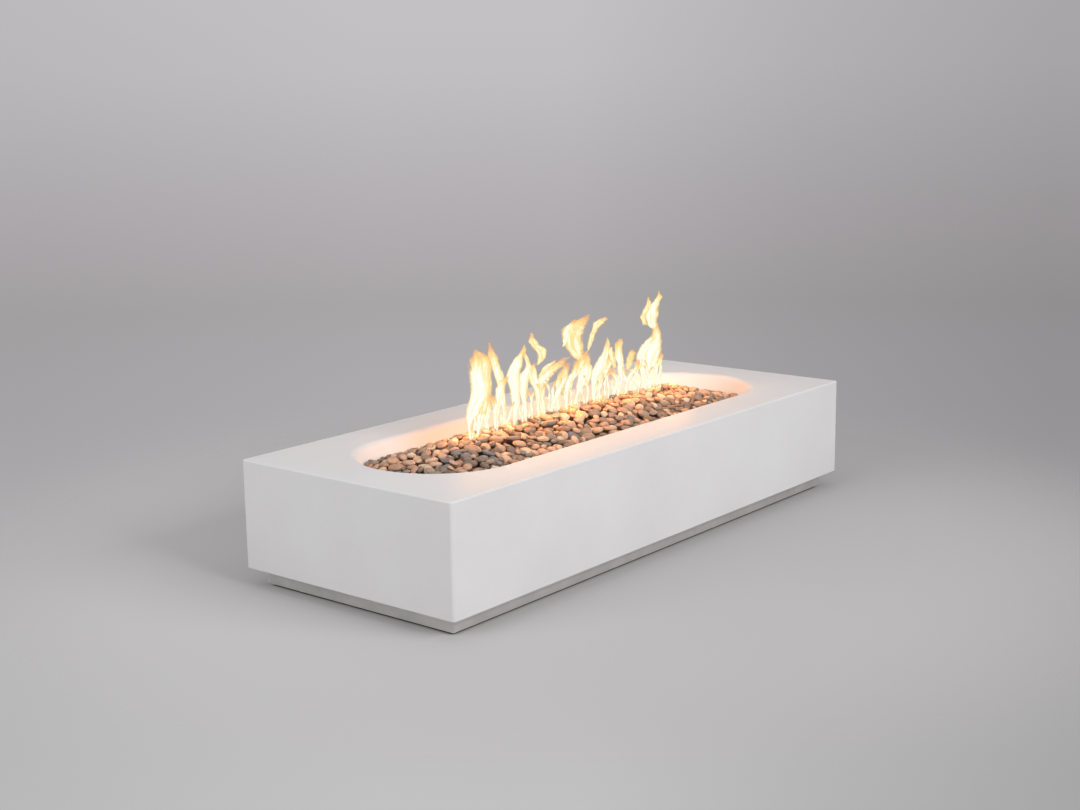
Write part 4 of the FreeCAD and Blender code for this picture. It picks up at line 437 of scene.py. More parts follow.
@dataclass(frozen=True)
class Metal(Finish):
    """Bare or plated metal with the marks of how it was worked."""

    colour: Colour = (180, 180, 182)
    stain: Colour = (150, 150, 152)
    grain: Grain = Grain.PLATED
    smooth: float = 0.25
    rough: float = 0.4
    depth: float = 0.00003
    metallic: float = 1.0
    stains_per_metre: float = 14.0

    def draw(self, graph: ShaderGraph) -> bpy.types.Material:
        """Draws grain, faint stains and uneven gloss.

        Args:
            graph: The empty material.
        """
        marks = graph.noise(graph.place(self.grain.value), 1.0, 3, 0.65)
        stains = graph.noise(graph.place(), self.stains_per_metre, 4, 0.6)
        worn = graph.mix(graph.span(stains, 0.35, 0.7), shade(*self.colour), shade(*self.stain))
        colour = graph.mix(graph.span(marks, *NOISE_BAND, 0.0, 0.22), worn, shade(*self.stain), "MULTIPLY")
        gloss = graph.span(marks, *NOISE_BAND, self.smooth, self.rough)
        return graph.close(Base_Color=colour, Metallic=self.metallic, Roughness=gloss,
                           Normal=graph.bump(marks, self.depth))


@dataclass(frozen=True)
class Coated(Finish):
    """Paint, plastic or rubber over a fine texture, with a little dust."""

    colour: Colour = (40, 40, 42)
    dust: Colour = (74, 73, 72)
    texture: float = 700.0
    depth: float = 0.00008
    smooth: float = 0.45
    rough: float = 0.6
    dust_per_metre: float = 22.0

    def draw(self, graph: ShaderGraph) -> bpy.types.Material:
        """Draws texture and dust.

        Args:
            graph: The empty material.
        """
        place = graph.place()
        skin = graph.noise(place, self.texture, 2, 0.5)
        dust = graph.noise(place, self.dust_per_metre, 5, 0.65)
        colour = graph.mix(graph.span(dust, 0.45, 0.8, 0.0, 0.35), shade(*self.colour), shade(*self.dust))
        gloss = graph.span(dust, *NOISE_BAND, self.smooth, self.rough)
        return graph.close(Base_Color=colour, Roughness=gloss, Normal=graph.bump(skin, self.depth))


@dataclass(frozen=True)
class Glazed(Finish):
    """White electrical ceramic with a clear glaze and a trace of soot."""

    colour: Colour = (236, 233, 225)
    soot: Colour = (120, 110, 100)
    soot_per_metre: float = 130.0
    roughness: tuple[float, float] = (0.16, 0.3)
    glaze: float = 0.4

    def draw(self, graph: ShaderGraph) -> bpy.types.Material:
        """Draws glaze and soot.

        Args:
            graph: The empty material.
        """
        soot = graph.noise(graph.place(), self.soot_per_metre, 4, 0.6)
        colour = graph.mix(graph.span(soot, 0.55, 0.85, 0.0, 0.5), shade(*self.colour), shade(*self.soot))
        return graph.close(Base_Color=colour, Roughness=graph.span(soot, *NOISE_BAND, *self.roughness),
                           Coat_Weight=self.glaze)


@dataclass(frozen=True)
class Braid(Finish):
    """Fine wire braid round a hose: two crossing sets of strands."""

    gap: Colour = (96, 97, 100)
    strand: Colour = (206, 207, 210)
    pitch: float = 0.0022
    lean: Point = (0.6, 0.7, 0.78)
    depth: float = 0.0003

    def draw(self, graph: ShaderGraph) -> bpy.types.Material:
        """Draws the crossing strands.

        Args:
            graph: The empty material.
        """
        rate = 1 / self.pitch
        sets = []
        for way in (1.0, -1.0):
            place = graph.place((rate, rate, rate), tuple(angle * way for angle in self.lean))
            wave = graph.add("ShaderNodeTexWave", {"Vector": place, "Scale": 0.32, "Distortion": 0.4,
                                                   "Detail": 1.0}, wave_type="BANDS")
            sets.append(wave.outputs["Fac"])
        weave = graph.sum("MAXIMUM", *sets)
        colour = graph.mix(weave, shade(*self.gap), shade(*self.strand))
        return graph.close(Base_Color=colour, Metallic=1.0, Roughness=graph.span(weave, 0.0, 1.0, 0.5, 0.3),
                           Normal=graph.bump(weave, self.depth))


@dataclass(frozen=True)
class FlameGlow(Finish):
    """Burning gas: a wide pale core, amber flanks and thin peach tips, torn into fine upright threads."""

    power: float = 1.1
    streaks: Point = (95.0, 95.0, 13.0)
    wisps: Point = (40.0, 40.0, 24.0)
    glow: tuple[tuple[float, Colour], ...] = (
        (0.0, (240, 172, 120)), (0.22, (252, 203, 130)), (0.44, (255, 229, 160)),
        (0.64, (255, 247, 206)), (0.92, (255, 253, 238)))

    def stops(self) -> list[tuple[float, Sequence[float]]]:
        """Returns the glow's colours in linear form, from its coolest to its hottest."""
        return [(place, shade(*colour)) for place, colour in self.glow]

    def draw(self, graph: ShaderGraph) -> bpy.types.Material:
        """Draws heat and cover from each sheet's own map.

        Args:
            graph: The empty material.
        """
        heat = graph.stored("warmth")
        across = graph.stored("across")
        licks = graph.noise(graph.place(self.streaks), 1.0, 4, 0.6)
        wisps = graph.noise(graph.place(self.wisps), 1.0, 3, 0.6)
        body = graph.sum("SUBTRACT", 1.0, graph.sum("POWER", graph.sum("ABSOLUTE", across), 2.2))
        torn = graph.sum("ADD", graph.span(licks, *NOISE_BAND, -0.3, 0.3),
                         graph.span(wisps, *NOISE_BAND, -0.18, 0.18))
        full = graph.sum("MULTIPLY", graph.sum("MULTIPLY", body, heat), 1.12)
        core = graph.sum("ADD", full, graph.sum("MULTIPLY", torn, 0.75))
        cover = graph.sum("MULTIPLY", graph.span(graph.sum("ADD", body, torn), 0.05, 0.6),
                          graph.span(heat, 0.0, 0.55, 0.35, 0.97))
        return self.burn(graph, graph.ramp(core, self.stops()), cover)

    def burn(self, graph: ShaderGraph, colour: Socket, cover: Socket) -> bpy.types.Material:
        """Ends the material in a glow that is seen but doesn't light the scene a second time.

        Args:
            graph: The material.
            colour: The glow's colour.
            cover: How far it hides what is behind it.
        """
        path = graph.add("ShaderNodeLightPath").outputs
        shown = graph.sum("MAXIMUM", path["Is Camera Ray"], path["Is Glossy Ray"])
        strength = graph.sum("MULTIPLY", shown, self.power)
        glow = graph.add("ShaderNodeEmission", {"Color": colour, "Strength": strength})
        return graph.end(graph.over(cover, graph.add("ShaderNodeBsdfTransparent"), glow))


@dataclass(frozen=True)
class FlameVeil(FlameGlow):
    """The thin pale veil at the flames' feet, combed into fine bright threads."""

    threads: Point = (85.0, 30.0, 4.0)
    thread_width: float = 0.028
    glow: tuple[tuple[float, Colour], ...] = (
        (0.0, (254, 232, 200)), (0.6, (255, 246, 214)), (1.0, (255, 252, 232)))

    def draw(self, graph: ShaderGraph) -> bpy.types.Material:
        """Draws the threads and the haze between them.

        Args:
            graph: The empty material.
        """
        comb = graph.noise(graph.place(self.threads), 1.0, 2, 0.5)
        off = graph.sum("ABSOLUTE", graph.sum("SUBTRACT", comb, 0.5))
        thread = graph.span(off, 0.0, self.thread_width, 1.0, 0.0)
        cover = graph.sum("MULTIPLY", graph.stored("warmth"), graph.span(thread, 0.0, 1.0, 0.12, 0.7))
        return self.burn(graph, graph.ramp(thread, self.stops()), cover)


@dataclass(frozen=True)
class StudioFloor(Finish):
    """Plain matt floor that melts into the backdrop far from the table, with painted light in its colour: it
    dims to one side as the light falls off, and a dark shadow is painted under the plinth.
    """

    across: Point = (1.0, 0.0, 0.0)
    # painted light falloff: the floor's colour goes from bright to dim towards the camera's right
    bright: Colour = (195, 193, 193)
    dim: Colour = (176, 174, 174)
    cloud: Colour = (150, 149, 149)
    # painted shadow: near-black floor colour under the plinth
    shaded: Colour = (36, 36, 36)
    dim_reach: float = 1.2
    near: float = 1.0
    far: float = 2.1
    painted_shadow_inset: float = 0.004
    painted_shadow_edge: float = 0.009
    clouds_per_metre: float = 0.7

    def cover(self, graph: ShaderGraph, place: Socket) -> Socket:
        """Returns 1 on the floor under the plinth, where no lamp reaches and a dark shadow is painted into
        the floor's colour, and 0 elsewhere.

        Args:
            graph: The material's nodes.
            place: The floor's own coordinates.
        """
        sides = graph.add("ShaderNodeSeparateXYZ", {"Vector": place}).outputs
        covers = []
        for axis, node in (("X", "plinth_left"), ("Y", "plinth_front")):
            outer = abs(getattr(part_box(node)[0], axis.lower())) - self.painted_shadow_inset
            offset = graph.sum("ABSOLUTE", sides[axis])
            covers.append(graph.span(offset, outer - self.painted_shadow_edge, outer, 1.0, 0.0))
        return graph.sum("MULTIPLY", *covers)

    def draw(self, graph: ShaderGraph) -> bpy.types.Material:
        """Draws the floor and how it fades.

        Args:
            graph: The empty material.
        """
        place = graph.place()
        reach = graph.add("ShaderNodeVectorMath", {0: place}, operation="LENGTH").outputs["Value"]
        fade = graph.add("ShaderNodeMapRange", {"Value": reach, "From Min": self.near, "From Max": self.far},
                         interpolation_type="SMOOTHSTEP").outputs["Result"]
        clouds = graph.noise(place, self.clouds_per_metre, 3, 0.5)
        aside = graph.add("ShaderNodeVectorMath", {0: place, 1: self.across}, operation="DOT_PRODUCT")
        side = graph.span(aside.outputs["Value"], -self.dim_reach, self.dim_reach)
        # painted light falloff: darker towards the camera's right
        even = graph.mix(side, shade(*self.bright), shade(*self.dim))
        colour = graph.mix(graph.span(clouds, *NOISE_BAND, 0.0, 0.06), even, shade(*self.cloud))
        # painted shadow: the floor's colour turns near black under the plinth
        colour = graph.mix(self.cover(graph, place), colour, shade(*self.shaded))
        matt = graph.add("ShaderNodeBsdfDiffuse", {"Color": colour, "Roughness": 0.6})
        return graph.end(graph.over(fade, matt, graph.add("ShaderNodeBsdfTransparent")))


FINISHES: dict[str, Finish] = {finish.slot: finish for finish in (
    Concrete("concrete"),
    Pebble("pebble_grey", band=(176, 158, 142), tones=(
        (128, 125, 126), (154, 138, 126), (142, 120, 104), (168, 148, 132), (122, 103, 90))),
    Pebble("pebble_brown", band=(224, 190, 162), tones=(
        (202, 156, 130), (214, 172, 144), (188, 148, 124), (220, 182, 153), (170, 132, 110))),
    Pebble("pebble_buff", band=(232, 208, 184), tones=(
        (218, 182, 153), (226, 196, 167), (208, 170, 143), (222, 184, 156), (230, 206, 179))),
    Lava("lava_rock"),
    Metal("plinth_steel", (222, 220, 219), (208, 206, 205), Grain.BRUSHED_LEVEL, 0.34, 0.5, 0.00002, 0.6),
    Coated("frame_steel", (46, 46, 49), (82, 80, 78), 520.0, 0.0001, 0.42, 0.6),
    Metal("zinc_steel", (200, 203, 208), (164, 168, 172), Grain.PLATED, 0.24, 0.42),
    Coated("black_rubber", (30, 30, 31), (70, 69, 68), 900.0, 0.00012, 0.7, 0.85),
    Metal("stainless", (200, 200, 201), (166, 166, 168), Grain.PLATED, 0.28, 0.44),
    Metal("cast_fitting", (60, 60, 62), (40, 40, 41), Grain.CAST, 0.5, 0.7, 0.0003),
    Metal("brass", (214, 180, 108), (168, 132, 74), Grain.TURNED, 0.2, 0.36),
    Metal("valve_alloy", (190, 191, 195), (156, 157, 161), Grain.CAST, 0.38, 0.55, 0.00016),
    Metal("knob_metal", (206, 207, 210), (178, 179, 182), Grain.TURNED, 0.2, 0.34),
    Coated("grey_gasket", (120, 119, 117), (150, 148, 144), 500.0, 0.0002, 0.8, 0.92),
    Metal("igniter_metal", (222, 223, 226), (196, 197, 200), Grain.TURNED, 0.08, 0.2, 0.00001),
    Coated("black_plastic", (28, 28, 29), (60, 60, 60), 800.0, 0.00008, 0.34, 0.5),
    Coated("foot_plastic", (34, 34, 35), (84, 82, 80), 700.0, 0.0001, 0.6, 0.8),
    Glazed("white_ceramic"),
    Metal("electrode_alloy", (150, 144, 138), (96, 86, 78), Grain.DRAWN, 0.4, 0.6),
    Metal("copper_tip", (206, 142, 108), (138, 88, 66), Grain.TURNED, 0.26, 0.45),
    Braid("braided_hose"),
    Coated("cable_sleeve", (196, 92, 46), (170, 100, 66), 600.0, 0.00006, 0.4, 0.55),
)}


# Meshes


def set_down(name: str, content: Any) -> bpy.types.Object:
    """Puts a mesh, a lamp or a camera into the scene as an object.

    Args:
        name: The object's name.
        content: What it shows.

    Returns:
        The new object, at the origin.
    """
    thing = bpy.data.objects.new(name, content)
    bpy.context.scene.collection.objects.link(thing)
    return thing


class Mesher:
    """Makes the plain meshes that the sub-assemblies share.

    Attributes:
        weld_distance: Points of a CAD mesh that are closer than this are one.
        flat_angle: Faces that turn less than this from each other, in degrees, are one.
        edge_angle: Edges that turn more than this are rounded.
        edge_steps: Faces across a rounded edge.
        sharp_angle: Edges that turn more than this after it are shaded sharp.
    """

    weld_distance = 0.00001
    flat_angle = 0.6
    edge_angle = 40.0
    edge_steps = 2
    sharp_angle = 38.0

    @staticmethod
    def plain(name: str, points: Sequence[Point], faces: Sequence[Sequence[int]] = ()) -> bpy.types.Object:
        """Makes an object in the scene from points.

        Args:
            name: The object's name.
            points: The places of the vertices.
            faces: The faces, each as vertex numbers.

        Returns:
            The new object.
        """
        mesh = bpy.data.meshes.new(name)
        mesh.from_pydata(points, [], faces)
        mesh.update()
        return set_down(name, mesh)

    @staticmethod
    def carry(mesh: bpy.types.Mesh, name: str, kind: str, content: Iterable[Any]) -> None:
        """Stores a value for each vertex of a mesh.

        Args:
            mesh: The mesh.
            name: The attribute's name.
            kind: FLOAT or FLOAT_VECTOR.
            content: One value for each vertex.
        """
        attribute = mesh.attributes.new(name, kind, "POINT")
        flat = np.asarray(list(content), np.float32).reshape(-1)
        attribute.data.foreach_set("vector" if kind == "FLOAT_VECTOR" else "value", flat)

    @staticmethod
    def settled(maker: bpy.types.Object, name: str) -> bpy.types.Object:
        """Turns an object and its live modifiers into one plain mesh at the origin.

        Args:
            maker: The object that carries the modifiers. It is removed.
            name: The name of the result.

        Returns:
            The plain object.
        """
        bpy.context.view_layer.update()
        graph = bpy.context.evaluated_depsgraph_get()
        mesh = bpy.data.meshes.new_from_object(maker.evaluated_get(graph), depsgraph=graph)
        mesh.name = name
        thing = set_down(name, mesh)
        bpy.data.objects.remove(maker)
        return thing

    @staticmethod
    def smoothed(thing: bpy.types.Object, sharp_from: float) -> bpy.types.Object:
        """Shades an object smooth, except along its sharp edges.

        Args:
            thing: The object.
            sharp_from: The angle in degrees from which an edge stays sharp.

        Returns:
            The same object.
        """
        thing.data.shade_smooth()
        thing.data.set_sharp_from_angle(angle=math.radians(sharp_from))
        return thing

    @staticmethod
    def softened(node: str, name: str, width: float) -> bpy.types.Object:
        """Copies a CAD node and rounds its sharp edges a little.

        Args:
            node: The CAD node.
            name: The name of the copy.
            width: Width of the rounding.

        Returns:
            The plain copy, which stands for the node.
        """
        maker = set_down(name + "_maker", frame["nodes"][node].data.copy())
        flat, edge = math.radians(Mesher.flat_angle), math.radians(Mesher.edge_angle)
        for kind, settings in (
                ("WELD", {"merge_threshold": Mesher.weld_distance}),
                ("DECIMATE", {"decimate_type": "DISSOLVE", "angle_limit": flat}),
                ("BEVEL", {"width": width, "segments": Mesher.edge_steps, "limit_method": "ANGLE",
                           "angle_limit": edge, "use_clamp_overlap": True})):
            modifier = maker.modifiers.new(kind.lower(), kind)
            for setting, amount in settings.items():
                setattr(modifier, setting, amount)
        thing = Mesher.smoothed(Mesher.settled(maker, name), Mesher.sharp_angle)
        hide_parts(node)
        return thing


def paint(thing: bpy.types.Object, finish: Finish) -> None:
    """Gives a whole object one finish.

    Args:
        thing: The object.
        finish: The finish.
    """
    thing.data.materials.clear()
    thing.data.materials.append(finish.material())


def dress(*nodes: str) -> None:
    """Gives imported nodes, whose shape is right as it is, the finishes of their own slots.

    Args:
        nodes: Their names.
    """
    for node in nodes:
        paint(frame["nodes"][node], FINISHES[SLOT_OF[node]])
        LOG.info("%s keeps its shape, in %s", node, SLOT_OF[node])


def add_piece(thing: bpy.types.Object, slot: str, body: str = "root") -> None:
    """Finishes a new piece: its material, which is the finish of its record slot, and the body it rides on.

    Args:
        thing: The piece, with its place in its mesh.
        slot: The record's material slot.
        body: The body that carries it.
    """
    paint(thing, FINISHES[slot])
    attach(thing, body)
    LOG.info("%s rides on %s in %s, %d faces", thing.name, body, slot, len(thing.data.polygons))


# Geometry Nodes


class NodeWorks(NodeSheet):
    """One Geometry Nodes tree, built from its inputs towards its output."""

    def __init__(self, name: str, inputs: dict[str, tuple[str, Any]]) -> None:
        """Starts a tree with a geometry input and the named ones.

        Args:
            name: The tree's name.
            inputs: Each further input with its socket type and its default.
        """
        self.tree = bpy.data.node_groups.new(name, "GeometryNodeTree")
        self.tree.interface.new_socket("Geometry", in_out="OUTPUT", socket_type="NodeSocketGeometry")
        self.tree.interface.new_socket("Geometry", in_out="INPUT", socket_type="NodeSocketGeometry")
        self.sockets: dict[str, str] = {}
        for label, (kind, default) in inputs.items():
            item = self.tree.interface.new_socket(label, in_out="INPUT", socket_type=kind)
            if default is not None:
                item.default_value = default
            self.sockets[label] = item.identifier
        self.entry = self.tree.nodes.new("NodeGroupInput")

    def given(self, label: str) -> Socket:
        """Returns one of the tree's inputs by its name."""
        return self.entry.outputs[label]

    def stored(self, name: str, kind: str) -> Socket:
        """Returns an attribute of the geometry.

        Args:
            name: The attribute's name.
            kind: Its type.
        """
        reader = self.add("GeometryNodeInputNamedAttribute", {"Name": name}, data_type=kind)
        return reader.outputs["Attribute"]

    def copies(self, pattern: Socket, scale: Socket) -> bpy.types.Node:
        """Returns a node that puts a copy on every point, turned as the point says.

        Args:
            pattern: The geometry to copy.
            scale: The size of each copy.
        """
        turn = self.add("FunctionNodeEulerToRotation", {0: self.stored("turn", "FLOAT_VECTOR")})
        return self.add("GeometryNodeInstanceOnPoints", {
            "Points": self.given("Geometry"), "Instance": pattern, "Rotation": turn.outputs[0],
            "Scale": scale})

    def finish(self, geometry: Socket) -> None:
        """Ends the tree with real geometry in the given material.

        Args:
            geometry: The geometry, which may still be instances.
        """
        real = self.add("GeometryNodeRealizeInstances", {"Geometry": geometry})
        dressed = self.add("GeometryNodeSetMaterial", {"Geometry": real.outputs[0],
                                                       "Material": self.given("Material")})
        self.add("NodeGroupOutput", {"Geometry": dressed.outputs[0]})

    def run(self, seedbed: bpy.types.Object, name: str, **content: Any) -> bpy.types.Object:
        """Runs the tree on an object and keeps the result as a plain mesh.

        Args:
            seedbed: The object whose mesh feeds the tree. It is removed.
            name: The name of the result.
            content: The inputs by name, with spaces written as underscores.

        Returns:
            The plain object.
        """
        modifier = seedbed.modifiers.new("nodes", "NODES")
        modifier.node_group = self.tree
        for label, setting in content.items():
            modifier[self.sockets[label.replace("_", " ")]] = setting
        return Mesher.settled(seedbed, name)


class PebbleWorks(NodeWorks):
    """Turns points into worn pebbles, each with its own size, turn, tone and slightly uneven shape."""

    def __init__(self) -> None:
        """Builds the tree."""
        super().__init__("pebble_works", {
            "Cuts": ("NodeSocketInt", 4),
            "Unevenness": ("NodeSocketFloat", 0.004),
            "Tone Shift": ("NodeSocketFloat", 400.0),
            "Material": ("NodeSocketMaterial", None)})
        cuts = self.given("Cuts")
        cube = self.add("GeometryNodeMeshCube", {"Size": (2.0, 2.0, 2.0), "Vertices X": cuts,
                                                 "Vertices Y": cuts, "Vertices Z": cuts})
        here = self.add("GeometryNodeInputPosition").outputs[0]
        ball = self.add("GeometryNodeSetPosition", {
            "Geometry": cube.outputs["Mesh"],
            "Position": self.add("ShaderNodeVectorMath", {0: here}, operation="NORMALIZE").outputs[0]})
        local = self.keep_place(ball, self.add("GeometryNodeInputPosition").outputs[0])
        copies = self.copies(local.outputs[0], self.stored("size", "FLOAT_VECTOR"))
        real = self.add("GeometryNodeRealizeInstances", {"Geometry": copies.outputs[0]})
        far = self.sum("MULTIPLY", self.stored("tone", "FLOAT"), self.given("Tone Shift"))
        shift = self.add("ShaderNodeCombineXYZ", {0: far, 1: far, 2: far}).outputs[0]
        own = self.add("ShaderNodeVectorMath", {0: self.stored("own_place", "FLOAT_VECTOR"), 1: shift},
                       operation="ADD").outputs[0]
        noise = self.add("ShaderNodeTexNoise", {"Vector": own, "Scale": 0.9, "Detail": 1.0})
        swell = self.sum("SUBTRACT", noise.outputs[0], 0.5)
        amount = self.sum("MULTIPLY", swell, self.given("Unevenness"))
        normal = self.add("GeometryNodeInputNormal").outputs[0]
        offset = self.add("ShaderNodeVectorMath", {0: normal, "Scale": amount}, operation="SCALE").outputs[0]
        uneven = self.add("GeometryNodeSetPosition", {"Geometry": real.outputs[0], "Offset": offset})
        smooth = self.add("GeometryNodeSetShadeSmooth", {"Geometry": self.keep_place(uneven, own).outputs[0]})
        self.finish(smooth.outputs[0])

    def keep_place(self, source: bpy.types.Node, place: Socket) -> bpy.types.Node:
        """Returns a node that stores each point's place on its own stone.

        Args:
            source: The node that gives the geometry.
            place: The place to store.
        """
        return self.add("GeometryNodeStoreNamedAttribute", {
            "Geometry": source.outputs[0], "Name": "own_place", "Value": place},
            data_type="FLOAT_VECTOR", domain="POINT")


class FastenerWorks(NodeWorks):
    """Puts a copy of one fastener on every point, each turned by its own amount."""

    def __init__(self) -> None:
        """Builds the tree."""
        super().__init__("fastener_works", {
            "Fastener": ("NodeSocketObject", None),
            "Scale": ("NodeSocketFloat", 1.0),
            "Material": ("NodeSocketMaterial", None)})
        pattern = self.add("GeometryNodeObjectInfo", {"Object": self.given("Fastener")})
        size = self.given("Scale")
        scale = self.add("ShaderNodeCombineXYZ", {0: size, 1: size, 2: size})
        self.finish(self.copies(pattern.outputs["Geometry"], scale.outputs[0]).outputs[0])


# Sub-assemblies


class Family(Enum):
    """The kinds of stone in the heap, each with its node and slot."""

    GREY = ("pebbles_grey", "pebble_grey")
    BROWN = ("pebbles_brown", "pebble_brown")
    BUFF = ("pebbles_buff", "pebble_buff")


@dataclass
class Stone:
    """One pebble as it lies."""

    place: Point
    turn: Point
    size: Point
    tone: float
    family: Family


@dataclass(frozen=True)
class Sowing:
    """One pass over the bowl in which stones are laid.

    Attributes:
        share: Length of the stones against the full length.
        layer_share: How high they may reach against the heap's full layer.
        bare: How thick the cover of a place may be for a stone still to go there.
        misses: How many stones in a row must find no place before the pass ends.
        tries: How many places each stone may choose from.
        whole: Whether the pass goes over the whole fill, or only over the heap's outline.
    """

    share: float
    layer_share: float
    bare: float
    misses: int
    tries: int
    whole: bool


@dataclass(frozen=True)
class FamilyMix:
    """Which kinds of stone lie where: more grey ones at the left end and along the front.

    Attributes:
        grey: Share of the grey stones everywhere.
        left: What is added to it at the left end.
        left_run: Where along the table that starts and over what length it comes.
        front: What is added to it along the front.
        front_run: Where across the table that starts and over what width it comes.
        brown: Share of the brown stones among those that aren't grey.
    """

    grey: float = 0.16
    left: float = 0.26
    left_run: tuple[float, float] = (-0.25, 0.3)
    front: float = 0.34
    front_run: tuple[float, float] = (0.02, 0.12)
    brown: float = 0.6

    def pick(self, x: float, y: float, draw: float) -> Family:
        """Returns the kind of stone for a place.

        Args:
            x: Place along the table.
            y: Place across the table.
            draw: A random number from 0 to 1.
        """
        left = min(1.0, max(0.0, (self.left_run[0] - x) / self.left_run[1]))
        front = min(1.0, max(0.0, (self.front_run[0] - y) / self.front_run[1]))
        grey = self.grey + self.left * left + self.front * front
        if draw < grey:
            return Family.GREY
        return Family.BROWN if draw < grey + self.brown * (1 - grey) else Family.BUFF


@dataclass
class PebbleHeap:
    """The heap of river pebbles, laid one by one on the fill until no more fit under its top.

    Attributes:
        seed: Seed of every random draw.
        sowings: The passes, from the large stones to the small ones in the gaps.
        mix: Which kinds of stone lie where.
        cell: Side of a square of the survey.
        margin: How far the survey goes past the fill.
        half_length: Half the length of a full-size stone, least and most.
        width_share: Its width against its length, least and most.
        depth_share: Its thickness against its length, least and most.
        layer: Height of the heap over the fill before and after it falls.
        layer_fall: Where along the table it falls.
        end_room: Room between the large stones and the fill's ends.
        bite: How far stones sink into each other where they touch.
        follow: How far a stone leans with the heap's slope.
        stray_lean: How far it leans by chance.
        stones: The stones laid so far.
    """

    seed: int = 11
    sowings: tuple[Sowing, ...] = (
        Sowing(1.0, 1.0, 1.0, 110, 14, False),
        Sowing(0.74, 1.0, 0.004, 120, 8, True),
        Sowing(0.5, 0.95, 0.003, 120, 8, True),
    )
    mix: FamilyMix = FamilyMix()
    cell: float = 0.004
    margin: float = 0.02
    half_length: tuple[float, float] = (0.0175, 0.0305)
    width_share: tuple[float, float] = (0.66, 0.86)
    depth_share: tuple[float, float] = (0.34, 0.50)
    layer: tuple[float, float] = (0.036, 0.024)
    layer_fall: tuple[float, float] = (0.2, 0.45)
    end_room: float = 0.035
    bite: float = 0.0008
    follow: float = 0.8
    stray_lean: float = 0.24
    stones: list[Stone] = field(default_factory=list)

    def survey(self) -> None:
        """Measures the height of the bowl and the fill under the heap."""
        depsgraph = bpy.context.evaluated_depsgraph_get()
        nodes = [frame["nodes"][name] for name in ("lava_bed", "concrete_body")]
        trees = [BVHTree.FromObject(node, depsgraph) for node in nodes]
        low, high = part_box("lava_bed")
        self.corner = Vector((low.x - self.margin, low.y - self.margin))
        self.columns = int((high.x - low.x + 2 * self.margin) / self.cell) + 1
        self.rows = int((high.y - low.y + 2 * self.margin) / self.cell) + 1
        self.ground = np.zeros((self.columns, self.rows))
        self.filled = np.zeros((self.columns, self.rows), bool)
        self.inside = self.filled.copy()
        for column, row in np.ndindex(self.columns, self.rows):
            start = Vector((self.corner.x + column * self.cell, self.corner.y + row * self.cell, 1.0))
            hits = [tree.ray_cast(start, Vector((0, 0, -1)))[0] for tree in trees]
            bed, wall = [hit.z if hit else 0.0 for hit in hits]
            self.ground[column, row] = max(bed, wall)
            self.filled[column, row] = bed > wall
            self.inside[column, row] = bed > wall and self.within(start, low, high)
        self.bed = self.ground.copy()

    def within(self, place: Vector, low: Vector, high: Vector) -> bool:
        """Returns whether a place lies in the heap's outline, which is rounded at both ends.

        Args:
            place: The place.
            low: The fill's lower corner.
            high: The fill's upper corner.
        """
        half = (high.y - low.y) / 2
        past = [max(0.0, beyond) for beyond in (low.x + half - place.x, place.x - high.x + half)]
        return all((beyond / (half - self.end_room)) ** 2 + (place.y / half) ** 2 < 1 for beyond in past)

    def patch(self, x: float, y: float, reach: float) -> tuple[slice, slice, np.ndarray, np.ndarray]:
        """Returns the part of the survey round a place.

        Args:
            x: Place along the table.
            y: Place across the table.
            reach: Half the side of the part.

        Returns:
            The two slices, and each cell's distance from the place along X and along Y.
        """
        column = (x - self.corner.x) / self.cell
        row = (y - self.corner.y) / self.cell
        span = reach / self.cell
        columns = slice(max(0, int(column - span)), min(self.columns, int(column + span) + 2))
        rows = slice(max(0, int(row - span)), min(self.rows, int(row + span) + 2))
        dx = (np.arange(columns.start, columns.stop) * self.cell + self.corner.x - x)[:, None]
        dy = (np.arange(rows.start, rows.stop) * self.cell + self.corner.y - y)[None, :]
        return columns, rows, dx, dy

    @staticmethod
    def shell(turn: Matrix, size: Point, dx: np.ndarray, dy: np.ndarray) -> tuple[np.ndarray, np.ndarray]:
        """Returns the height of a stone's under side and top over each cell, as far as it covers it.

        Args:
            turn: How the stone is turned.
            size: Its half sizes.
            dx: Distances along X.
            dy: Distances along Y.

        Returns:
            The heights of the under side and of the top, with NaN where the stone isn't.
        """
        form = np.array(turn) @ np.diag([1 / half ** 2 for half in size]) @ np.array(turn).T
        slope = form[0, 2] * dx + form[1, 2] * dy
        rest = form[0, 0] * dx ** 2 + 2 * form[0, 1] * dx * dy + form[1, 1] * dy ** 2 - 1
        room = slope ** 2 - form[2, 2] * rest
        root = np.sqrt(np.where(room > 0, room, np.nan))
        return (-slope - root) / form[2, 2], (-slope + root) / form[2, 2]

    def lean(self, x: float, y: float, reach: float) -> Vector:
        """Returns the way up that the heap's surface has round a place.

        Args:
            x: Place along the table.
            y: Place across the table.
            reach: How far round the place it is measured.
        """
        columns, rows, dx, dy = self.patch(x, y, reach)
        heights = self.ground[columns, rows]
        mean = heights.mean()
        slopes = []
        for away, lines in ((dx, dy.shape[1]), (dy, dx.shape[0])):
            spread = (away ** 2 * np.ones_like(heights)).sum()
            slopes.append(float((heights * away).sum() / spread) - float(mean * away.sum() * lines / spread))
        return Vector((-self.follow * slopes[0], -self.follow * slopes[1], 1.0)).normalized()

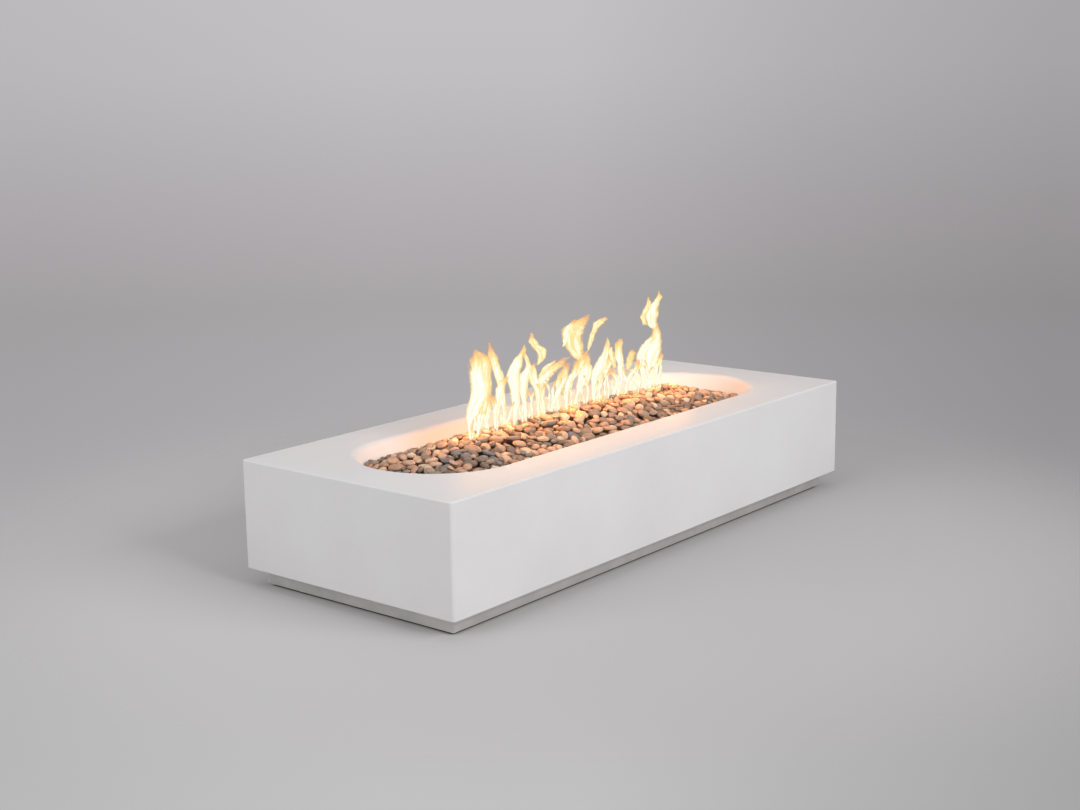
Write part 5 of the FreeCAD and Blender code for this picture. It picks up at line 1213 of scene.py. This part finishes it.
    def lay(self, sowing: Sowing, rng: np.random.Generator) -> None:
        """Lays the stones of one pass, each in the lowest of a few places that it could take.

        Args:
            sowing: The pass.
            rng: The source of the random draws.
        """
        region = self.filled if sowing.whole else self.inside
        missed = 0
        while missed < sowing.misses:
            open_cells = np.argwhere(region & (self.ground - self.bed < sowing.bare))
            half = sowing.share * float(rng.uniform(*self.half_length))
            shares = [float(rng.uniform(*share)) for share in (self.width_share, self.depth_share)]
            size = (half, half * shares[0], half * shares[1])
            spin = float(rng.uniform(0, math.tau))
            stray = Vector((*rng.normal(0, self.stray_lean, 2), 0))
            best = None
            for _ in range(sowing.tries if len(open_cells) else 0):
                column, row = open_cells[rng.integers(len(open_cells))]
                x, y = np.array(self.corner) + (np.array((column, row)) + rng.random(2)) * self.cell
                up = (self.lean(x, y, half) + stray).normalized()
                turn = up.to_track_quat("Z", "Y").to_matrix() @ Matrix.Rotation(spin, 3, "Z")
                columns, rows, dx, dy = self.patch(x, y, half)
                under, top = self.shell(turn, size, dx, dy)
                lift = float(np.nanmax(self.ground[columns, rows] - under)) - self.bite
                bed = float(self.bed[column, row])
                layer = sowing.layer_share * float(np.interp(x, self.layer_fall, self.layer))
                proud = lift + float(np.nanmax(top)) - bed - layer
                if proud < 0 and (best is None or lift - bed < best[0]):
                    best = (lift - bed, x, y, lift, turn, columns, rows, top)
            if best is None:
                missed += 1
                continue
            missed = 0
            _, x, y, lift, turn, columns, rows, top = best
            covered = np.where(np.isnan(top), -1.0, top + lift)
            self.ground[columns, rows] = np.maximum(self.ground[columns, rows], covered)
            self.stones.append(Stone((float(x), float(y), lift), tuple(turn.to_euler()), size,
                                     float(rng.random()), self.mix.pick(x, y, float(rng.random()))))

    def build(self) -> None:
        """Lays the heap and makes one mesh for each kind of stone."""
        self.survey()
        rng = np.random.default_rng(self.seed)
        for sowing in self.sowings:
            self.lay(sowing, rng)
        works = PebbleWorks()
        for family in Family:
            node, slot = family.value
            own = [stone for stone in self.stones if stone.family is family]
            seedbed = Mesher.plain(node + "_seeds", [stone.place for stone in own])
            for label, kind in (("turn", "FLOAT_VECTOR"), ("size", "FLOAT_VECTOR"), ("tone", "FLOAT")):
                Mesher.carry(seedbed.data, label, kind, [getattr(stone, label) for stone in own])
            thing = works.run(seedbed, "heap_" + family.name.lower(), Material=FINISHES[slot].material())
            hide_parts(node)
            add_piece(thing, slot)
        LOG.info("%d stones in the heap", len(self.stones))


@dataclass(frozen=True)
class KeptNodes:
    """A sub-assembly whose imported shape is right, so that it only needs its finishes."""

    nodes: tuple[str, ...]

    def build(self) -> None:
        """Gives each node the finish of its own slot."""
        dress(*self.nodes)


@dataclass(frozen=True)
class Casting(KeptNodes):
    """The one-piece concrete casting with its square sides and oblong bowl."""

    nodes: tuple[str, ...] = ("concrete_body",)


@dataclass(frozen=True)
class LavaFill(KeptNodes):
    """The dark gravel that the pebbles lie on."""

    nodes: tuple[str, ...] = ("lava_bed",)


@dataclass(frozen=True)
class Plinth(KeptNodes):
    """The set-back skirt of brushed sheet and its rubber strips."""

    nodes: tuple[str, ...] = ("plinth_front", "plinth_rear", "plinth_left", "plinth_right",
                              "isolation_strips")


@dataclass(frozen=True)
class BaseFrame(KeptNodes):
    """Cross members, gussets, nuts and bolts inside the skirt."""

    nodes: tuple[str, ...] = ("cross_members", "foot_gussets", "foot_nuts", "body_bolts", "bolt_washers",
                              "body_inserts")


@dataclass(frozen=True)
class GasTrain(KeptNodes):
    """Inlet, hoses, valve, mixer and burner."""

    nodes: tuple[str, ...] = ("gas_inlet", "gas_inlet_nut", "supply_hose", "gas_valve", "valve_nut",
                              "burner_hose", "gas_orifice", "air_mixer", "inlet_elbow", "inlet_nuts",
                              "burner_inlet", "burner_tube", "burner_caps", "burner_saddles", "burner_pan",
                              "pan_gasket", "pan_screws", "drain_spout", "valve_stem", "thrust_collar")


@dataclass(frozen=True)
class Ignition(KeptNodes):
    """Spark electrode, thermocouple and their leads."""

    nodes: tuple[str, ...] = ("ignition_bracket", "spark_electrode", "electrode_wire", "thermocouple",
                              "spark_cable", "thermocouple_lead", "igniter_nut")


@dataclass(frozen=True)
class PanelScrew:
    """A button-head screw with a six-sided socket.

    Attributes:
        head_radius: Radius of the head.
        head_height: Height of the head.
        length: Length of the shank.
        shank_radius: Radius of the shank.
        socket_flats: Width of the socket across its flats.
        socket_depth: Depth of the socket as a share of the head's height.
        crown: The head's outline above its rim, as shares of its radius and of its height below the top.
        sides: Points round the screw.
    """

    head_radius: float = 0.004
    head_height: float = 0.002
    length: float = 0.014
    shank_radius: float = 0.0021
    socket_flats: float = 0.0025
    socket_depth: float = 0.62
    crown: tuple[tuple[float, float], ...] = ((1.0, -1.0), (1.0, -0.6), (0.86, -0.2), (0.62, 0.0))
    sides: int = 24

    def ring(self, reach: float, level: float, flats: int = 0) -> list[Point]:
        """Returns one ring of points round the screw's axis, which is Y.

        Args:
            reach: Its radius, or half its width across flats.
            level: Its place along the axis.
            flats: Number of its flats, or 0 for a round one.
        """
        points = []
        for side in range(self.sides):
            angle = math.tau * side / self.sides
            sector = (angle % (math.tau / flats)) - math.pi / flats if flats else 0.0
            out = reach / math.cos(sector)
            points.append((out * math.sin(angle), level, out * math.cos(angle)))
        return points

    def pattern(self) -> bpy.types.Object:
        """Makes the screw with its head's top at the origin."""
        height = self.head_height
        rings = [self.ring(self.shank_radius, -self.length - height), self.ring(self.shank_radius, -height)]
        rings += [self.ring(share * self.head_radius, drop * height) for share, drop in self.crown]
        rings += [self.ring(self.socket_flats / 2, -drop * height, 6) for drop in (0.0, self.socket_depth)]
        top = (len(rings) - 1) * self.sides
        faces: list[tuple[int, ...]] = []
        for first in range(0, top, self.sides):
            for side in range(self.sides):
                here, beside = first + side, first + (side + 1) % self.sides
                faces.append((here, beside, beside + self.sides, here + self.sides))
        faces += [tuple(reversed(range(self.sides))), tuple(range(top, top + self.sides))]
        return Mesher.smoothed(Mesher.plain("screw_pattern", sum(rings, []), faces), 35)


@dataclass
class ControlPanel:
    """The recess in the long side with its knob, its igniter and four screws."""

    knob_edge: float = 0.0007
    button_edge: float = 0.0006
    bezel_edge: float = 0.0005
    screw: PanelScrew = PanelScrew()
    screw_turns: Sequence[float] = (0.35, 1.05, 1.75, 2.45)

    def build_screws(self) -> None:
        """Puts the four panel screws in place."""
        low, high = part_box("niche_screws")
        inset = self.screw.head_radius
        corners = [(x, high.y, z) for x in (low.x + inset, high.x - inset)
                   for z in (low.z + inset, high.z - inset)]
        seedbed = Mesher.plain("screw_seeds", corners)
        Mesher.carry(seedbed.data, "turn", "FLOAT_VECTOR", [(0.0, turn, 0.0) for turn in self.screw_turns])
        pattern = self.screw.pattern()
        slot = SLOT_OF["niche_screws"]
        metal = FINISHES[slot].material()
        thing = FastenerWorks().run(seedbed, "panel_screws", Fastener=pattern, Material=metal)
        bpy.data.objects.remove(pattern)
        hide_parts("niche_screws")
        add_piece(thing, slot)

    def build(self) -> None:
        """Makes the pieces whose edges the eye comes close to and dresses the recess."""
        for node, name, edge, body in (
                ("control_knob", "dressed_knob", self.knob_edge, "knob_turn_body"),
                ("igniter_button", "dressed_button", self.button_edge, "igniter_button_body"),
                ("igniter_barrel", "dressed_bezel", self.bezel_edge, "root")):
            add_piece(Mesher.softened(node, name, edge), SLOT_OF[node], body)
        self.build_screws()
        dress("control_niche", "niche_gasket")


@dataclass
class LevellingFeet:
    """Four feet: a moulded pad on each threaded stud."""

    pad_edge: float = 0.0012
    count: int = 4

    def build(self) -> None:
        """Rounds the pads and dresses the studs."""
        for number in range(1, self.count + 1):
            pad = Mesher.softened(f"foot_pad_{number}", f"dressed_pad_{number}", self.pad_edge)
            add_piece(pad, SLOT_OF[f"foot_pad_{number}"], f"foot_pad_body_{number}")
            dress(f"foot_stud_{number}")


@dataclass(frozen=True)
class Tongue:
    """One tongue of flame.

    Attributes:
        spine: Its middle line, each point as (x, z, half width).
        heat: How hot it is, from 0 to 1.
        shift: How far it leans across the table at its tip.
    """

    spine: tuple[Point, ...]
    heat: float
    shift: float = 0.0

    @classmethod
    def drawn(cls, spine: Sequence[Point], heat: float, shift: float = 0.0) -> "Tongue":
        """Returns a tongue from lengths in millimetres.

        Args:
            spine: Its middle line.
            heat: How hot it is.
            shift: How far it leans across the table.
        """
        return cls(tuple(tuple(length / 1000 for length in point) for point in spine), heat, shift / 1000)


TONGUES: tuple[Tongue, ...] = (
    Tongue.drawn(((-429, 350, 2), (-432, 399, 4), (-416, 437, 15), (-391, 478, 17), (-396, 533, 16),
                  (-388, 568, 18), (-407, 598, 1)), 0.95, -4),
    Tongue.drawn(((-375, 416, 8), (-364, 465, 10), (-356, 518, 10), (-351, 554, 11), (-364, 584, 2)), 0.6, 6),
    Tongue.drawn(((-402, 345, 2), (-391, 382, 4), (-375, 411, 8), (-358, 454, 9), (-340, 488, 5)), 1.0, 10),
    Tongue.drawn(((-351, 352, 1), (-360, 390, 3), (-355, 431, 5), (-347, 471, 5)), 0.9),
    Tongue.drawn(((-319, 353, 2), (-325, 403, 4), (-320, 457, 7), (-301, 491, 8), (-282, 507, 4)), 0.95, -8),
    Tongue.drawn(((-287, 363, 1), (-285, 405, 4), (-293, 453, 6), (-294, 499, 8), (-310, 543, 9),
                  (-326, 577, 7), (-336, 606, 1)), 0.75, 8),
    Tongue.drawn(((-252, 360, 3), (-242, 416, 7), (-243, 463, 11), (-248, 506, 13), (-233, 541, 10),
                  (-214, 566, 5), (-205, 583, 1)), 1.0, -6),
    Tongue.drawn(((-194, 358, 2), (-192, 408, 4), (-198, 456, 9), (-191, 492, 12), (-172, 513, 7),
                  (-181, 547, 3), (-183, 566, 1)), 0.9, 8),
    Tongue.drawn(((-135, 356, 3), (-140, 408, 4), (-148, 448, 7), (-166, 484, 10), (-165, 512, 6),
                  (-161, 525, 1)), 0.8, -4),
    Tongue.drawn(((-138, 516, 2), (-122, 534, 7), (-125, 558, 11), (-151, 580, 9), (-159, 600, 4),
                  (-162, 611, 1)), 0.55, 4),
    Tongue.drawn(((-119, 354, 4), (-121, 405, 6), (-117, 452, 10), (-88, 481, 13), (-42, 498, 11),
                  (12, 514, 7)), 0.8, 10),
    Tongue.drawn(((-94, 345, 2), (-81, 389, 4), (-55, 433, 6), (-31, 467, 8), (-19, 504, 6)), 0.9, -10),
    Tongue.drawn(((-48, 356, 2), (-50, 412, 4), (-44, 450, 6), (-27, 486, 7)), 0.85),
    Tongue.drawn(((-132, 483, 3), (-102, 502, 7), (-72, 512, 4), (-64, 520, 1)), 0.6),
    Tongue.drawn(((-10, 350, 2), (-5, 405, 5), (11, 446, 7), (43, 471, 9), (59, 497, 11)), 0.9, 6),
    Tongue.drawn(((17, 352, 2), (40, 407, 4), (54, 449, 10), (65, 487, 12), (75, 519, 7)), 1.0, -6),
    Tongue.drawn(((59, 502, 8), (32, 535, 17), (21, 571, 19), (37, 598, 20), (68, 613, 14),
                  (104, 628, 2)), 0.55, 4),
    Tongue.drawn(((-26, 553, 2), (-14, 580, 6), (2, 607, 7), (29, 623, 4)), 0.85, -4),
    Tongue.drawn(((93, 522, 1), (113, 548, 5), (131, 575, 6), (152, 597, 10), (180, 603, 8),
                  (201, 608, 1)), 0.6, 8),
    Tongue.drawn(((85, 420, 5), (94, 458, 7), (82, 499, 7), (83, 523, 3)), 0.8),
    Tongue.drawn(((111, 352, 2), (117, 405, 5), (122, 444, 10), (150, 469, 12), (171, 501, 7),
                  (179, 529, 5), (178, 552, 1)), 0.95, -4),
    Tongue.drawn(((155, 352, 2), (150, 409, 4), (166, 447, 12), (195, 467, 9), (205, 491, 2)), 1.0, 8),
    Tongue.drawn(((196, 352, 1), (218, 388, 4), (220, 423, 6), (187, 458, 9)), 0.9, -8),
    Tongue.drawn(((237, 350, 1), (244, 394, 4), (253, 438, 7), (247, 479, 8), (245, 515, 8),
                  (250, 537, 5)), 0.95),
    Tongue.drawn(((224, 453, 3), (216, 484, 6), (212, 510, 4), (214, 517, 1)), 0.5, 6),
    Tongue.drawn(((283, 439, 3), (296, 462, 8), (300, 487, 7), (304, 496, 3)), 0.45, -6),
    Tongue.drawn(((282, 350, 1), (291, 397, 4), (312, 424, 5), (347, 434, 7), (360, 458, 7)), 0.85, 4),
    Tongue.drawn(((342, 352, 1), (342, 394, 3), (321, 428, 5), (262, 442, 3)), 0.85, -4),
    Tongue.drawn(((371, 345, 1), (375, 389, 4), (369, 431, 8), (369, 472, 10), (401, 503, 9),
                  (434, 519, 7), (443, 544, 5)), 0.95, 6),
    Tongue.drawn(((401, 345, 1), (401, 390, 5), (401, 431, 12), (412, 471, 15), (430, 504, 11),
                  (434, 535, 8), (421, 562, 9)), 1.0, -4),
    Tongue.drawn(((435, 345, 1), (435, 390, 4), (439, 430, 7), (445, 466, 5), (426, 500, 4)), 0.9, 10),
    Tongue.drawn(((454, 392, 1), (454, 428, 3), (450, 465, 4)), 0.7, -8),
    Tongue.drawn(((421, 547, 7), (412, 573, 12), (421, 598, 13), (434, 622, 8), (452, 640, 5),
                  (450, 658, 1)), 0.8),
    Tongue.drawn(((382, 562, 5), (378, 588, 6), (395, 611, 6), (408, 630, 4), (410, 643, 1)), 0.6, 6),
)


@dataclass
class SheetStack:
    """Thin open sheets gathered for one object, each point with its heat and its place across the sheet."""

    points: list[Point] = field(default_factory=list)
    heats: list[float] = field(default_factory=list)
    sides: list[float] = field(default_factory=list)
    faces: list[tuple[int, ...]] = field(default_factory=list)

    def add(self, rows: Sequence[Sequence[tuple[Point, float, float]]]) -> None:
        """Adds a sheet.

        Args:
            rows: The rows along the sheet. Each holds a place, its heat and its side, from -1 to 1.
        """
        lanes = len(rows[0])
        first = len(self.points)
        for place, heat, side in (corner for row in rows for corner in row):
            self.points.append(place)
            self.heats.append(heat)
            self.sides.append(side)
        self.faces += [(a, a + 1, a + 1 + lanes, a + lanes) for row in range(len(rows) - 1)
                       for a in range(first + row * lanes, first + (row + 1) * lanes - 1)]

    def show(self, name: str, finish: Finish) -> None:
        """Makes the sheets one stage object.

        Args:
            name: The object's name.
            finish: What it is made of.
        """
        thing = Mesher.plain(name, self.points, self.faces)
        Mesher.carry(thing.data, "warmth", "FLOAT", self.heats)
        Mesher.carry(thing.data, "across", "FLOAT", self.sides)
        thing.data.shade_smooth()
        paint(thing, finish)
        LOG.info("%s: %d faces", name, len(self.faces))


@dataclass
class Flames:
    """Tongues of flame over the burner, each made of a few thin sheets that cross on its spine.

    Attributes:
        steps: Faces along a sheet.
        across: Faces across it.
        sheets: Sheets of one tongue.
        facing: Turn of a tongue's first sheet, in degrees.
        stretch: Width of a sheet against the tongue's.
        thinnest: Least half width of a tongue.
        twist: How far a sheet turns to and fro, in radians.
        bow: How far it bulges, as a share of its half width.
        sway: How far it sways and ripples.
        rates: How fast it turns, sways and ripples along its length.
        phases: How far the number shifts the sway and the ripple, and how far the side shifts the ripple.
        rooted: How much of its lean a tongue has at its foot.
        tip_fade: How steeply its heat falls to the tip.
        foot_heat: Its heat at the foot, and how steeply it rises from there.
        stir: How far a ripple moves a point across and up.
        foot: Height from which the flames rise.
        seed: Seed of the legs' random draws.
    """

    steps: int = 36
    across: int = 8
    sheets: int = 3
    facing: float = -48.0
    stretch: float = 1.75
    thinnest: float = 0.0004
    twist: float = 0.4
    bow: float = 0.3
    sway: float = 0.0022
    rates: Point = (4.1, 9.0, 26.0)
    phases: Point = (1.7, 2.3, 2.5)
    rooted: float = 0.3
    tip_fade: float = 2.6
    foot_heat: tuple[float, float] = (0.6, 6.0)
    stir: tuple[float, float] = (0.5, 0.6)
    foot: float = 0.345
    seed: int = 5

    def spine(self, tongue: Tongue) -> np.ndarray:
        """Returns a smooth line through a tongue's points.

        Args:
            tongue: The tongue.

        Returns:
            One row of x, z and half width for each step.
        """
        points = np.array(tongue.spine)
        ends = np.vstack((2 * points[0] - points[1], points, 2 * points[-1] - points[-2]))
        rows = []
        for place in np.linspace(0, len(points) - 1.0001, self.steps + 1):
            index = int(place)
            part = place - index
            a, b, c, d = ends[index:index + 4]
            rows.append(0.5 * (2 * b + (c - a) * part + (2 * a - 5 * b + 4 * c - d) * part ** 2
                               + (3 * b - a - 3 * c + d) * part ** 3))
        return np.array(rows)

    def sheet(self, tongue: Tongue, number: int, angle: float) -> list[list[tuple[Point, float, float]]]:
        """Returns one thin sheet of a tongue.

        Args:
            tongue: The tongue.
            number: The tongue's number, which sets how it sways.
            angle: Turn of the sheet about the spine.

        Returns:
            The sheet's rows, each point with its heat and its place across the sheet.
        """
        rows = []
        turning, swaying, rippling = self.rates
        for step, (x, z, half) in enumerate(self.spine(tongue)):
            share = step / self.steps
            twist = angle + self.twist * math.sin(turning * share + number)
            sway = self.sway * math.sin(swaying * share + self.phases[0] * number)
            lean_y = tongue.shift * (self.rooted + share) + sway
            width = max(self.thinnest, half) * self.stretch
            rising = min(1.0, self.foot_heat[0] + self.foot_heat[1] * share)
            heat = tongue.heat * min(1.0, self.tip_fade * (1 - share)) * rising
            row = []
            for lane in range(self.across + 1):
                side = 2 * lane / self.across - 1
                phase = self.phases[1] * number + self.phases[2] * side
                ripple = self.sway * math.sin(rippling * share + phase)
                bow = self.bow * width * (1 - side ** 2)
                out = side * width + self.stir[0] * ripple
                place = (x + out * math.cos(twist) - bow * math.sin(twist),
                         lean_y + out * math.sin(twist) + bow * math.cos(twist), z + self.stir[1] * ripple)
                row.append((place, heat, side))
            rows.append(row)
        return rows

    def build(self) -> None:
        """Makes the flames and their veil."""
        stack = SheetStack()
        for number, tongue in enumerate((*TONGUES, *FlameLegs().grow(self))):
            for sheet in range(self.sheets):
                angle = math.radians(self.facing) + math.pi * sheet / self.sheets
                stack.add(self.sheet(tongue, number, angle))
        stack.show("flames", FlameGlow("flame_glow"))
        Veil().hang(self.foot, self.across).show("flame_veil", FlameVeil("flame_veil"))
        FlameLamps().build()


@dataclass
class FlameLegs:
    """The thin legs on which the tongues stand among the stones.

    Attributes:
        count: Legs of one tongue.
        highest_start: How far above the foot a tongue may start and still have legs.
        spread: How far aside a leg stands, least and most.
        join: How high it joins its tongue, least and most.
        width: Half width of a leg.
        width_share: How that varies from leg to leg, least and most.
        stray: How far its second point goes aside against its first, least and most.
        closing: How far its third point is still aside against its first.
        shift: How far it leans across the table, at most.
        levels: Where its points lie, as shares of its height.
        swell: Its width at each of them.
    """

    count: int = 2
    highest_start: float = 0.03
    spread: tuple[float, float] = (0.008, 0.034)
    join: tuple[float, float] = (0.085, 0.125)
    width: float = 0.0017
    width_share: tuple[float, float] = (0.6, 1.3)
    stray: tuple[float, float] = (0.85, 1.15)
    closing: float = 0.7
    shift: float = 0.012
    levels: tuple[float, ...] = (0.0, 0.34, 0.7, 1.0)
    swell: tuple[float, ...] = (0.4, 1.0, 1.2, 1.6)

    def grow(self, flames: Flames) -> list[Tongue]:
        """Returns the legs of every tongue that starts low enough to have some.

        Args:
            flames: The flames that stand on them.
        """
        rng = np.random.default_rng(flames.seed)
        legs = []
        for tongue in TONGUES:
            line = flames.spine(tongue)
            if line[0, 1] > flames.foot + self.highest_start:
                continue
            for number in range(self.count):
                join = line[np.argmin(abs(line[:, 1] - flames.foot - rng.uniform(*self.join)))]
                aside = float(rng.uniform(*self.spread)) * (1 if number % 2 else -1)
                width = self.width * float(rng.uniform(*self.width_share))
                x, rise = float(join[0]), float(join[1]) - flames.foot
                outs = (aside, aside * float(rng.uniform(*self.stray)), self.closing * aside, 0.0)
                spine = tuple((x + out, flames.foot + level * rise, swell * width)
                              for out, level, swell in zip(outs, self.levels, self.swell))
                legs.append(Tongue(spine, 1.0, float(rng.uniform(-self.shift, self.shift))))
        return legs


@dataclass
class Veil:
    """The pale veil at the flames' feet, whose top rises and falls in arches.

    Attributes:
        ends: Where along the table it starts and ends.
        height: Its height where it is tallest.
        lines: Where across the table its sheets stand.
        step: Width of a face.
        wave: How far a sheet weaves from its line.
        lean: How far its threads lean along the table, as a share of their height.
        arch_rates: How fast the wide and the narrow arches follow each other.
        weave_rate: How fast the sheet weaves.
        lean_rate: How fast the lean changes along the table.
        narrow: Height of the narrow arches against the wide ones.
        floor: Its height between the arches, and what the arches add.
        end_height: Its height at its ends against elsewhere.
        end_rise: How steeply it rises from its ends.
    """

    ends: tuple[float, float] = (-0.435, 0.462)
    height: float = 0.085
    lines: tuple[float, ...] = (-0.008, 0.009)
    step: float = 0.004
    wave: float = 0.006
    lean: float = 0.1
    arch_rates: tuple[float, float] = (31.0, 83.0)
    weave_rate: float = 27.0
    lean_rate: float = 9.0
    narrow: float = 0.35
    floor: tuple[float, float] = (0.5, 0.4)
    end_height: float = 0.3
    end_rise: float = 16.0

    def hang(self, foot: float, lanes: int) -> "SheetStack":
        """Returns the veil's sheets.

        Args:
            foot: The height from which it rises.
            lanes: Number of faces up each sheet.
        """
        stack = SheetStack()
        columns = int((self.ends[1] - self.ends[0]) / self.step)
        for number, line in enumerate(self.lines):
            rows = []
            for column in range(columns + 1):
                x = self.ends[0] + column * self.step
                wide, narrow = self.arch_rates
                arch = abs(math.sin(wide * x + 1.3 * number)) + self.narrow * math.sin(narrow * x + number)
                rise = min(1.0, self.end_rise * min(column, columns - column) / columns)
                height = self.height * (self.floor[0] + self.floor[1] * arch)
                height *= self.end_height + (1 - self.end_height) * rise
                y = line + self.wave * math.sin(self.weave_rate * x + 2 * number)
                lean = self.lean * math.sin(self.lean_rate * x)
                rows.append([((x + lean * height * share, y, foot + height * share), self.heat(share),
                              2 * share - 1) for share in np.linspace(0, 1, lanes + 1)])
            stack.add(rows)
        return stack

    @staticmethod
    def heat(share: float) -> float:
        """Returns how hot the veil is at a share of its height: strongest low down, nothing at its top."""
        return math.sin(math.pi * min(1.0, 0.25 + 0.75 * share)) ** 0.7 * (1.0 if share < 1 else 0.0)


@dataclass
class FlameLamps:
    """The small warm lamps with which the flames light the stones and the bowl."""

    count: int = 8
    height: float = 0.425
    power: float = 1.25
    radius: float = 0.03
    colour: Colour = (1.0, 0.43, 0.13)
    reach: tuple[float, float] = (-0.42, 0.54)

    def build(self) -> None:
        """Puts the lamps in a row where the flames burn."""
        for number in range(self.count):
            share = number / (self.count - 1)
            lamp = bpy.data.lights.new(f"flame_lamp_{number}", "POINT")
            lamp.energy = self.power
            lamp.color = self.colour
            lamp.shadow_soft_size = self.radius
            thing = set_down(lamp.name, lamp)
            thing.location = (self.reach[0] + share * (self.reach[1] - self.reach[0]), 0.0, self.height)


# Studio


@dataclass(frozen=True)
class SoftBox:
    """One soft studio lamp, aimed at a point."""

    name: str
    place: Point
    target: Point
    size: tuple[float, float]
    power: float

    def build(self) -> None:
        """Hangs the lamp."""
        lamp = bpy.data.lights.new(self.name, "AREA")
        lamp.shape = "RECTANGLE"
        lamp.size, lamp.size_y = self.size
        lamp.energy = self.power
        thing = set_down(self.name, lamp)
        thing.location = self.place
        aim = Vector(self.target) - Vector(self.place)
        thing.rotation_euler = aim.to_track_quat("-Z", "Y").to_euler()


@dataclass
class Studio:
    """Floor, backdrop, lamps and camera.

    Attributes:
        sweep: The backdrop's tones by how far below or above the horizon the view goes.
        falloff: How bright the backdrop stays by how far to the right the view goes.
    """

    floor_reach: float = 14.0
    floor_rings: int = 12
    floor_spokes: int = 64
    sweep: tuple[tuple[float, Colour], ...] = (
        (-0.42, (195, 194, 195)), (-0.32, (188, 187, 188)), (-0.26, (181, 179, 181)),
        (-0.20, (173, 171, 173)), (-0.14, (169, 166, 168)), (-0.09, (178, 174, 177)),
        (0.0, (193, 191, 193)), (0.06, (197, 195, 197)))
    falloff: tuple[tuple[float, float], ...] = (
        (-0.30, 0.91), (-0.1, 1.0), (0.02, 1.0), (0.16, 0.84), (0.30, 0.72))
    ambient: float = 0.41
    camera_place: Point = (-3.618, -2.841, 1.334)
    azimuth: float = 50.82
    dip: float = 11.73
    roll: float = -0.832
    focal_pixels: float = 1628.0
    frame_width: float = 1080.0
    sensor: float = 36.0
    sight: float = 60.0
    boxes: tuple[SoftBox, ...] = (
        SoftBox("top_box", (0.2, -0.2, 3.6), (0, 0, 0.3), (4.5, 4.5), 26.0),
        SoftBox("right_box", (-0.3, -4.5, 2.3), (-0.05, 0, 0.2), (3.4, 1.8), 134.0),
        SoftBox("left_box", (-4.6, 0.6, 2.0), (0, 0, 0.2), (3.0, 2.4), 68.0),
    )

    def build_floor(self) -> None:
        """Lays the floor, a disc of rings round the table."""
        rings, spokes = self.floor_rings, self.floor_spokes
        turns = [math.tau * spoke / spokes for spoke in range(spokes)]
        points: list[Point] = [(0.0, 0.0, 0.0)]
        for ring in range(1, rings + 1):
            radius = self.floor_reach * ring / rings
            points += [(radius * math.cos(turn), radius * math.sin(turn), 0.0) for turn in turns]
        faces: list[tuple[int, ...]] = [(0, 1 + k, 1 + (k + 1) % spokes) for k in range(spokes)]
        for base in range(1, 1 + (rings - 1) * spokes, spokes):
            faces += [(base + k, base + spokes + k, base + spokes + (k + 1) % spokes, base + (k + 1) % spokes)
                      for k in range(spokes)]
        floor = Mesher.plain("studio_floor", points, faces)
        paint(floor, StudioFloor("studio_floor", tuple(self.right())))

    def build_backdrop(self) -> None:
        """Sets the world: a grey sweep to look at, and an even soft light from all round."""
        graph = WorldGraph("studio_world")
        ahead = graph.add("ShaderNodeTexCoord").outputs["Generated"]
        height = graph.add("ShaderNodeSeparateXYZ", {0: ahead}).outputs["Z"]
        low, high = self.sweep[0][0], self.sweep[-1][0]
        stops = [((dip - low) / (high - low), shade(*tone)) for dip, tone in self.sweep]
        grey = graph.ramp(graph.span(height, low, high), stops)
        aside = graph.add("ShaderNodeVectorMath", {0: ahead, 1: self.right()}, operation="DOT_PRODUCT")
        start, stop = self.falloff[0][0], self.falloff[-1][0]
        shares = [((place - start) / (stop - start), (*[share] * 3, 1.0)) for place, share in self.falloff]
        dimming = graph.ramp(graph.span(aside.outputs["Value"], start, stop), shares)
        path = graph.add("ShaderNodeLightPath").outputs
        shown = graph.sum("MAXIMUM", graph.sum("MAXIMUM", path["Is Camera Ray"], path["Is Glossy Ray"]),
                          path["Is Transmission Ray"])
        backdrop = graph.add("ShaderNodeBackground", {"Color": graph.mix(1.0, grey, dimming, "MULTIPLY")})
        soft = graph.add("ShaderNodeBackground", {"Color": WHITE, "Strength": self.ambient})
        graph.close_world(graph.over(shown, soft, backdrop))

    def right(self) -> Vector:
        """Returns the level direction to the camera's right."""
        return Vector((math.cos(math.radians(self.azimuth)), -math.sin(math.radians(self.azimuth)), 0.0))

    def build_camera(self) -> None:
        """Puts the camera where the photograph was taken from."""
        az, dip, roll = (math.radians(a) for a in (self.azimuth, self.dip, self.roll))
        ahead = Vector((math.sin(az) * math.cos(dip), math.cos(az) * math.cos(dip), -math.sin(dip)))
        right = self.right()
        up = right.cross(ahead)
        across = math.cos(roll) * right + math.sin(roll) * up
        above = -math.sin(roll) * right + math.cos(roll) * up
        turn = Matrix((across, above, -ahead)).transposed().to_4x4()
        camera = bpy.data.cameras.new("camera")
        camera.sensor_width = self.sensor
        camera.lens = self.focal_pixels / self.frame_width * self.sensor
        camera.clip_end = self.sight
        thing = set_down("camera", camera)
        thing.matrix_world = Matrix.Translation(self.camera_place) @ turn
        bpy.context.scene.camera = thing

    def build(self) -> None:
        """Builds the whole studio."""
        self.build_floor()
        self.build_backdrop()
        for box in self.boxes:
            box.build()
        self.build_camera()
        bpy.context.scene.view_settings.view_transform = "Standard"


def main() -> None:
    """Builds every sub-assembly in order and dresses it."""
    logging.basicConfig(level=logging.INFO, format="%(name)s: %(message)s")
    for assembly in (Casting(), PebbleHeap(), LavaFill(), Plinth(), BaseFrame(), GasTrain(), Ignition(),
                     ControlPanel(), LevellingFeet(), Flames(), Studio()):
        assembly.build()


if __name__ == "__main__":
    main()
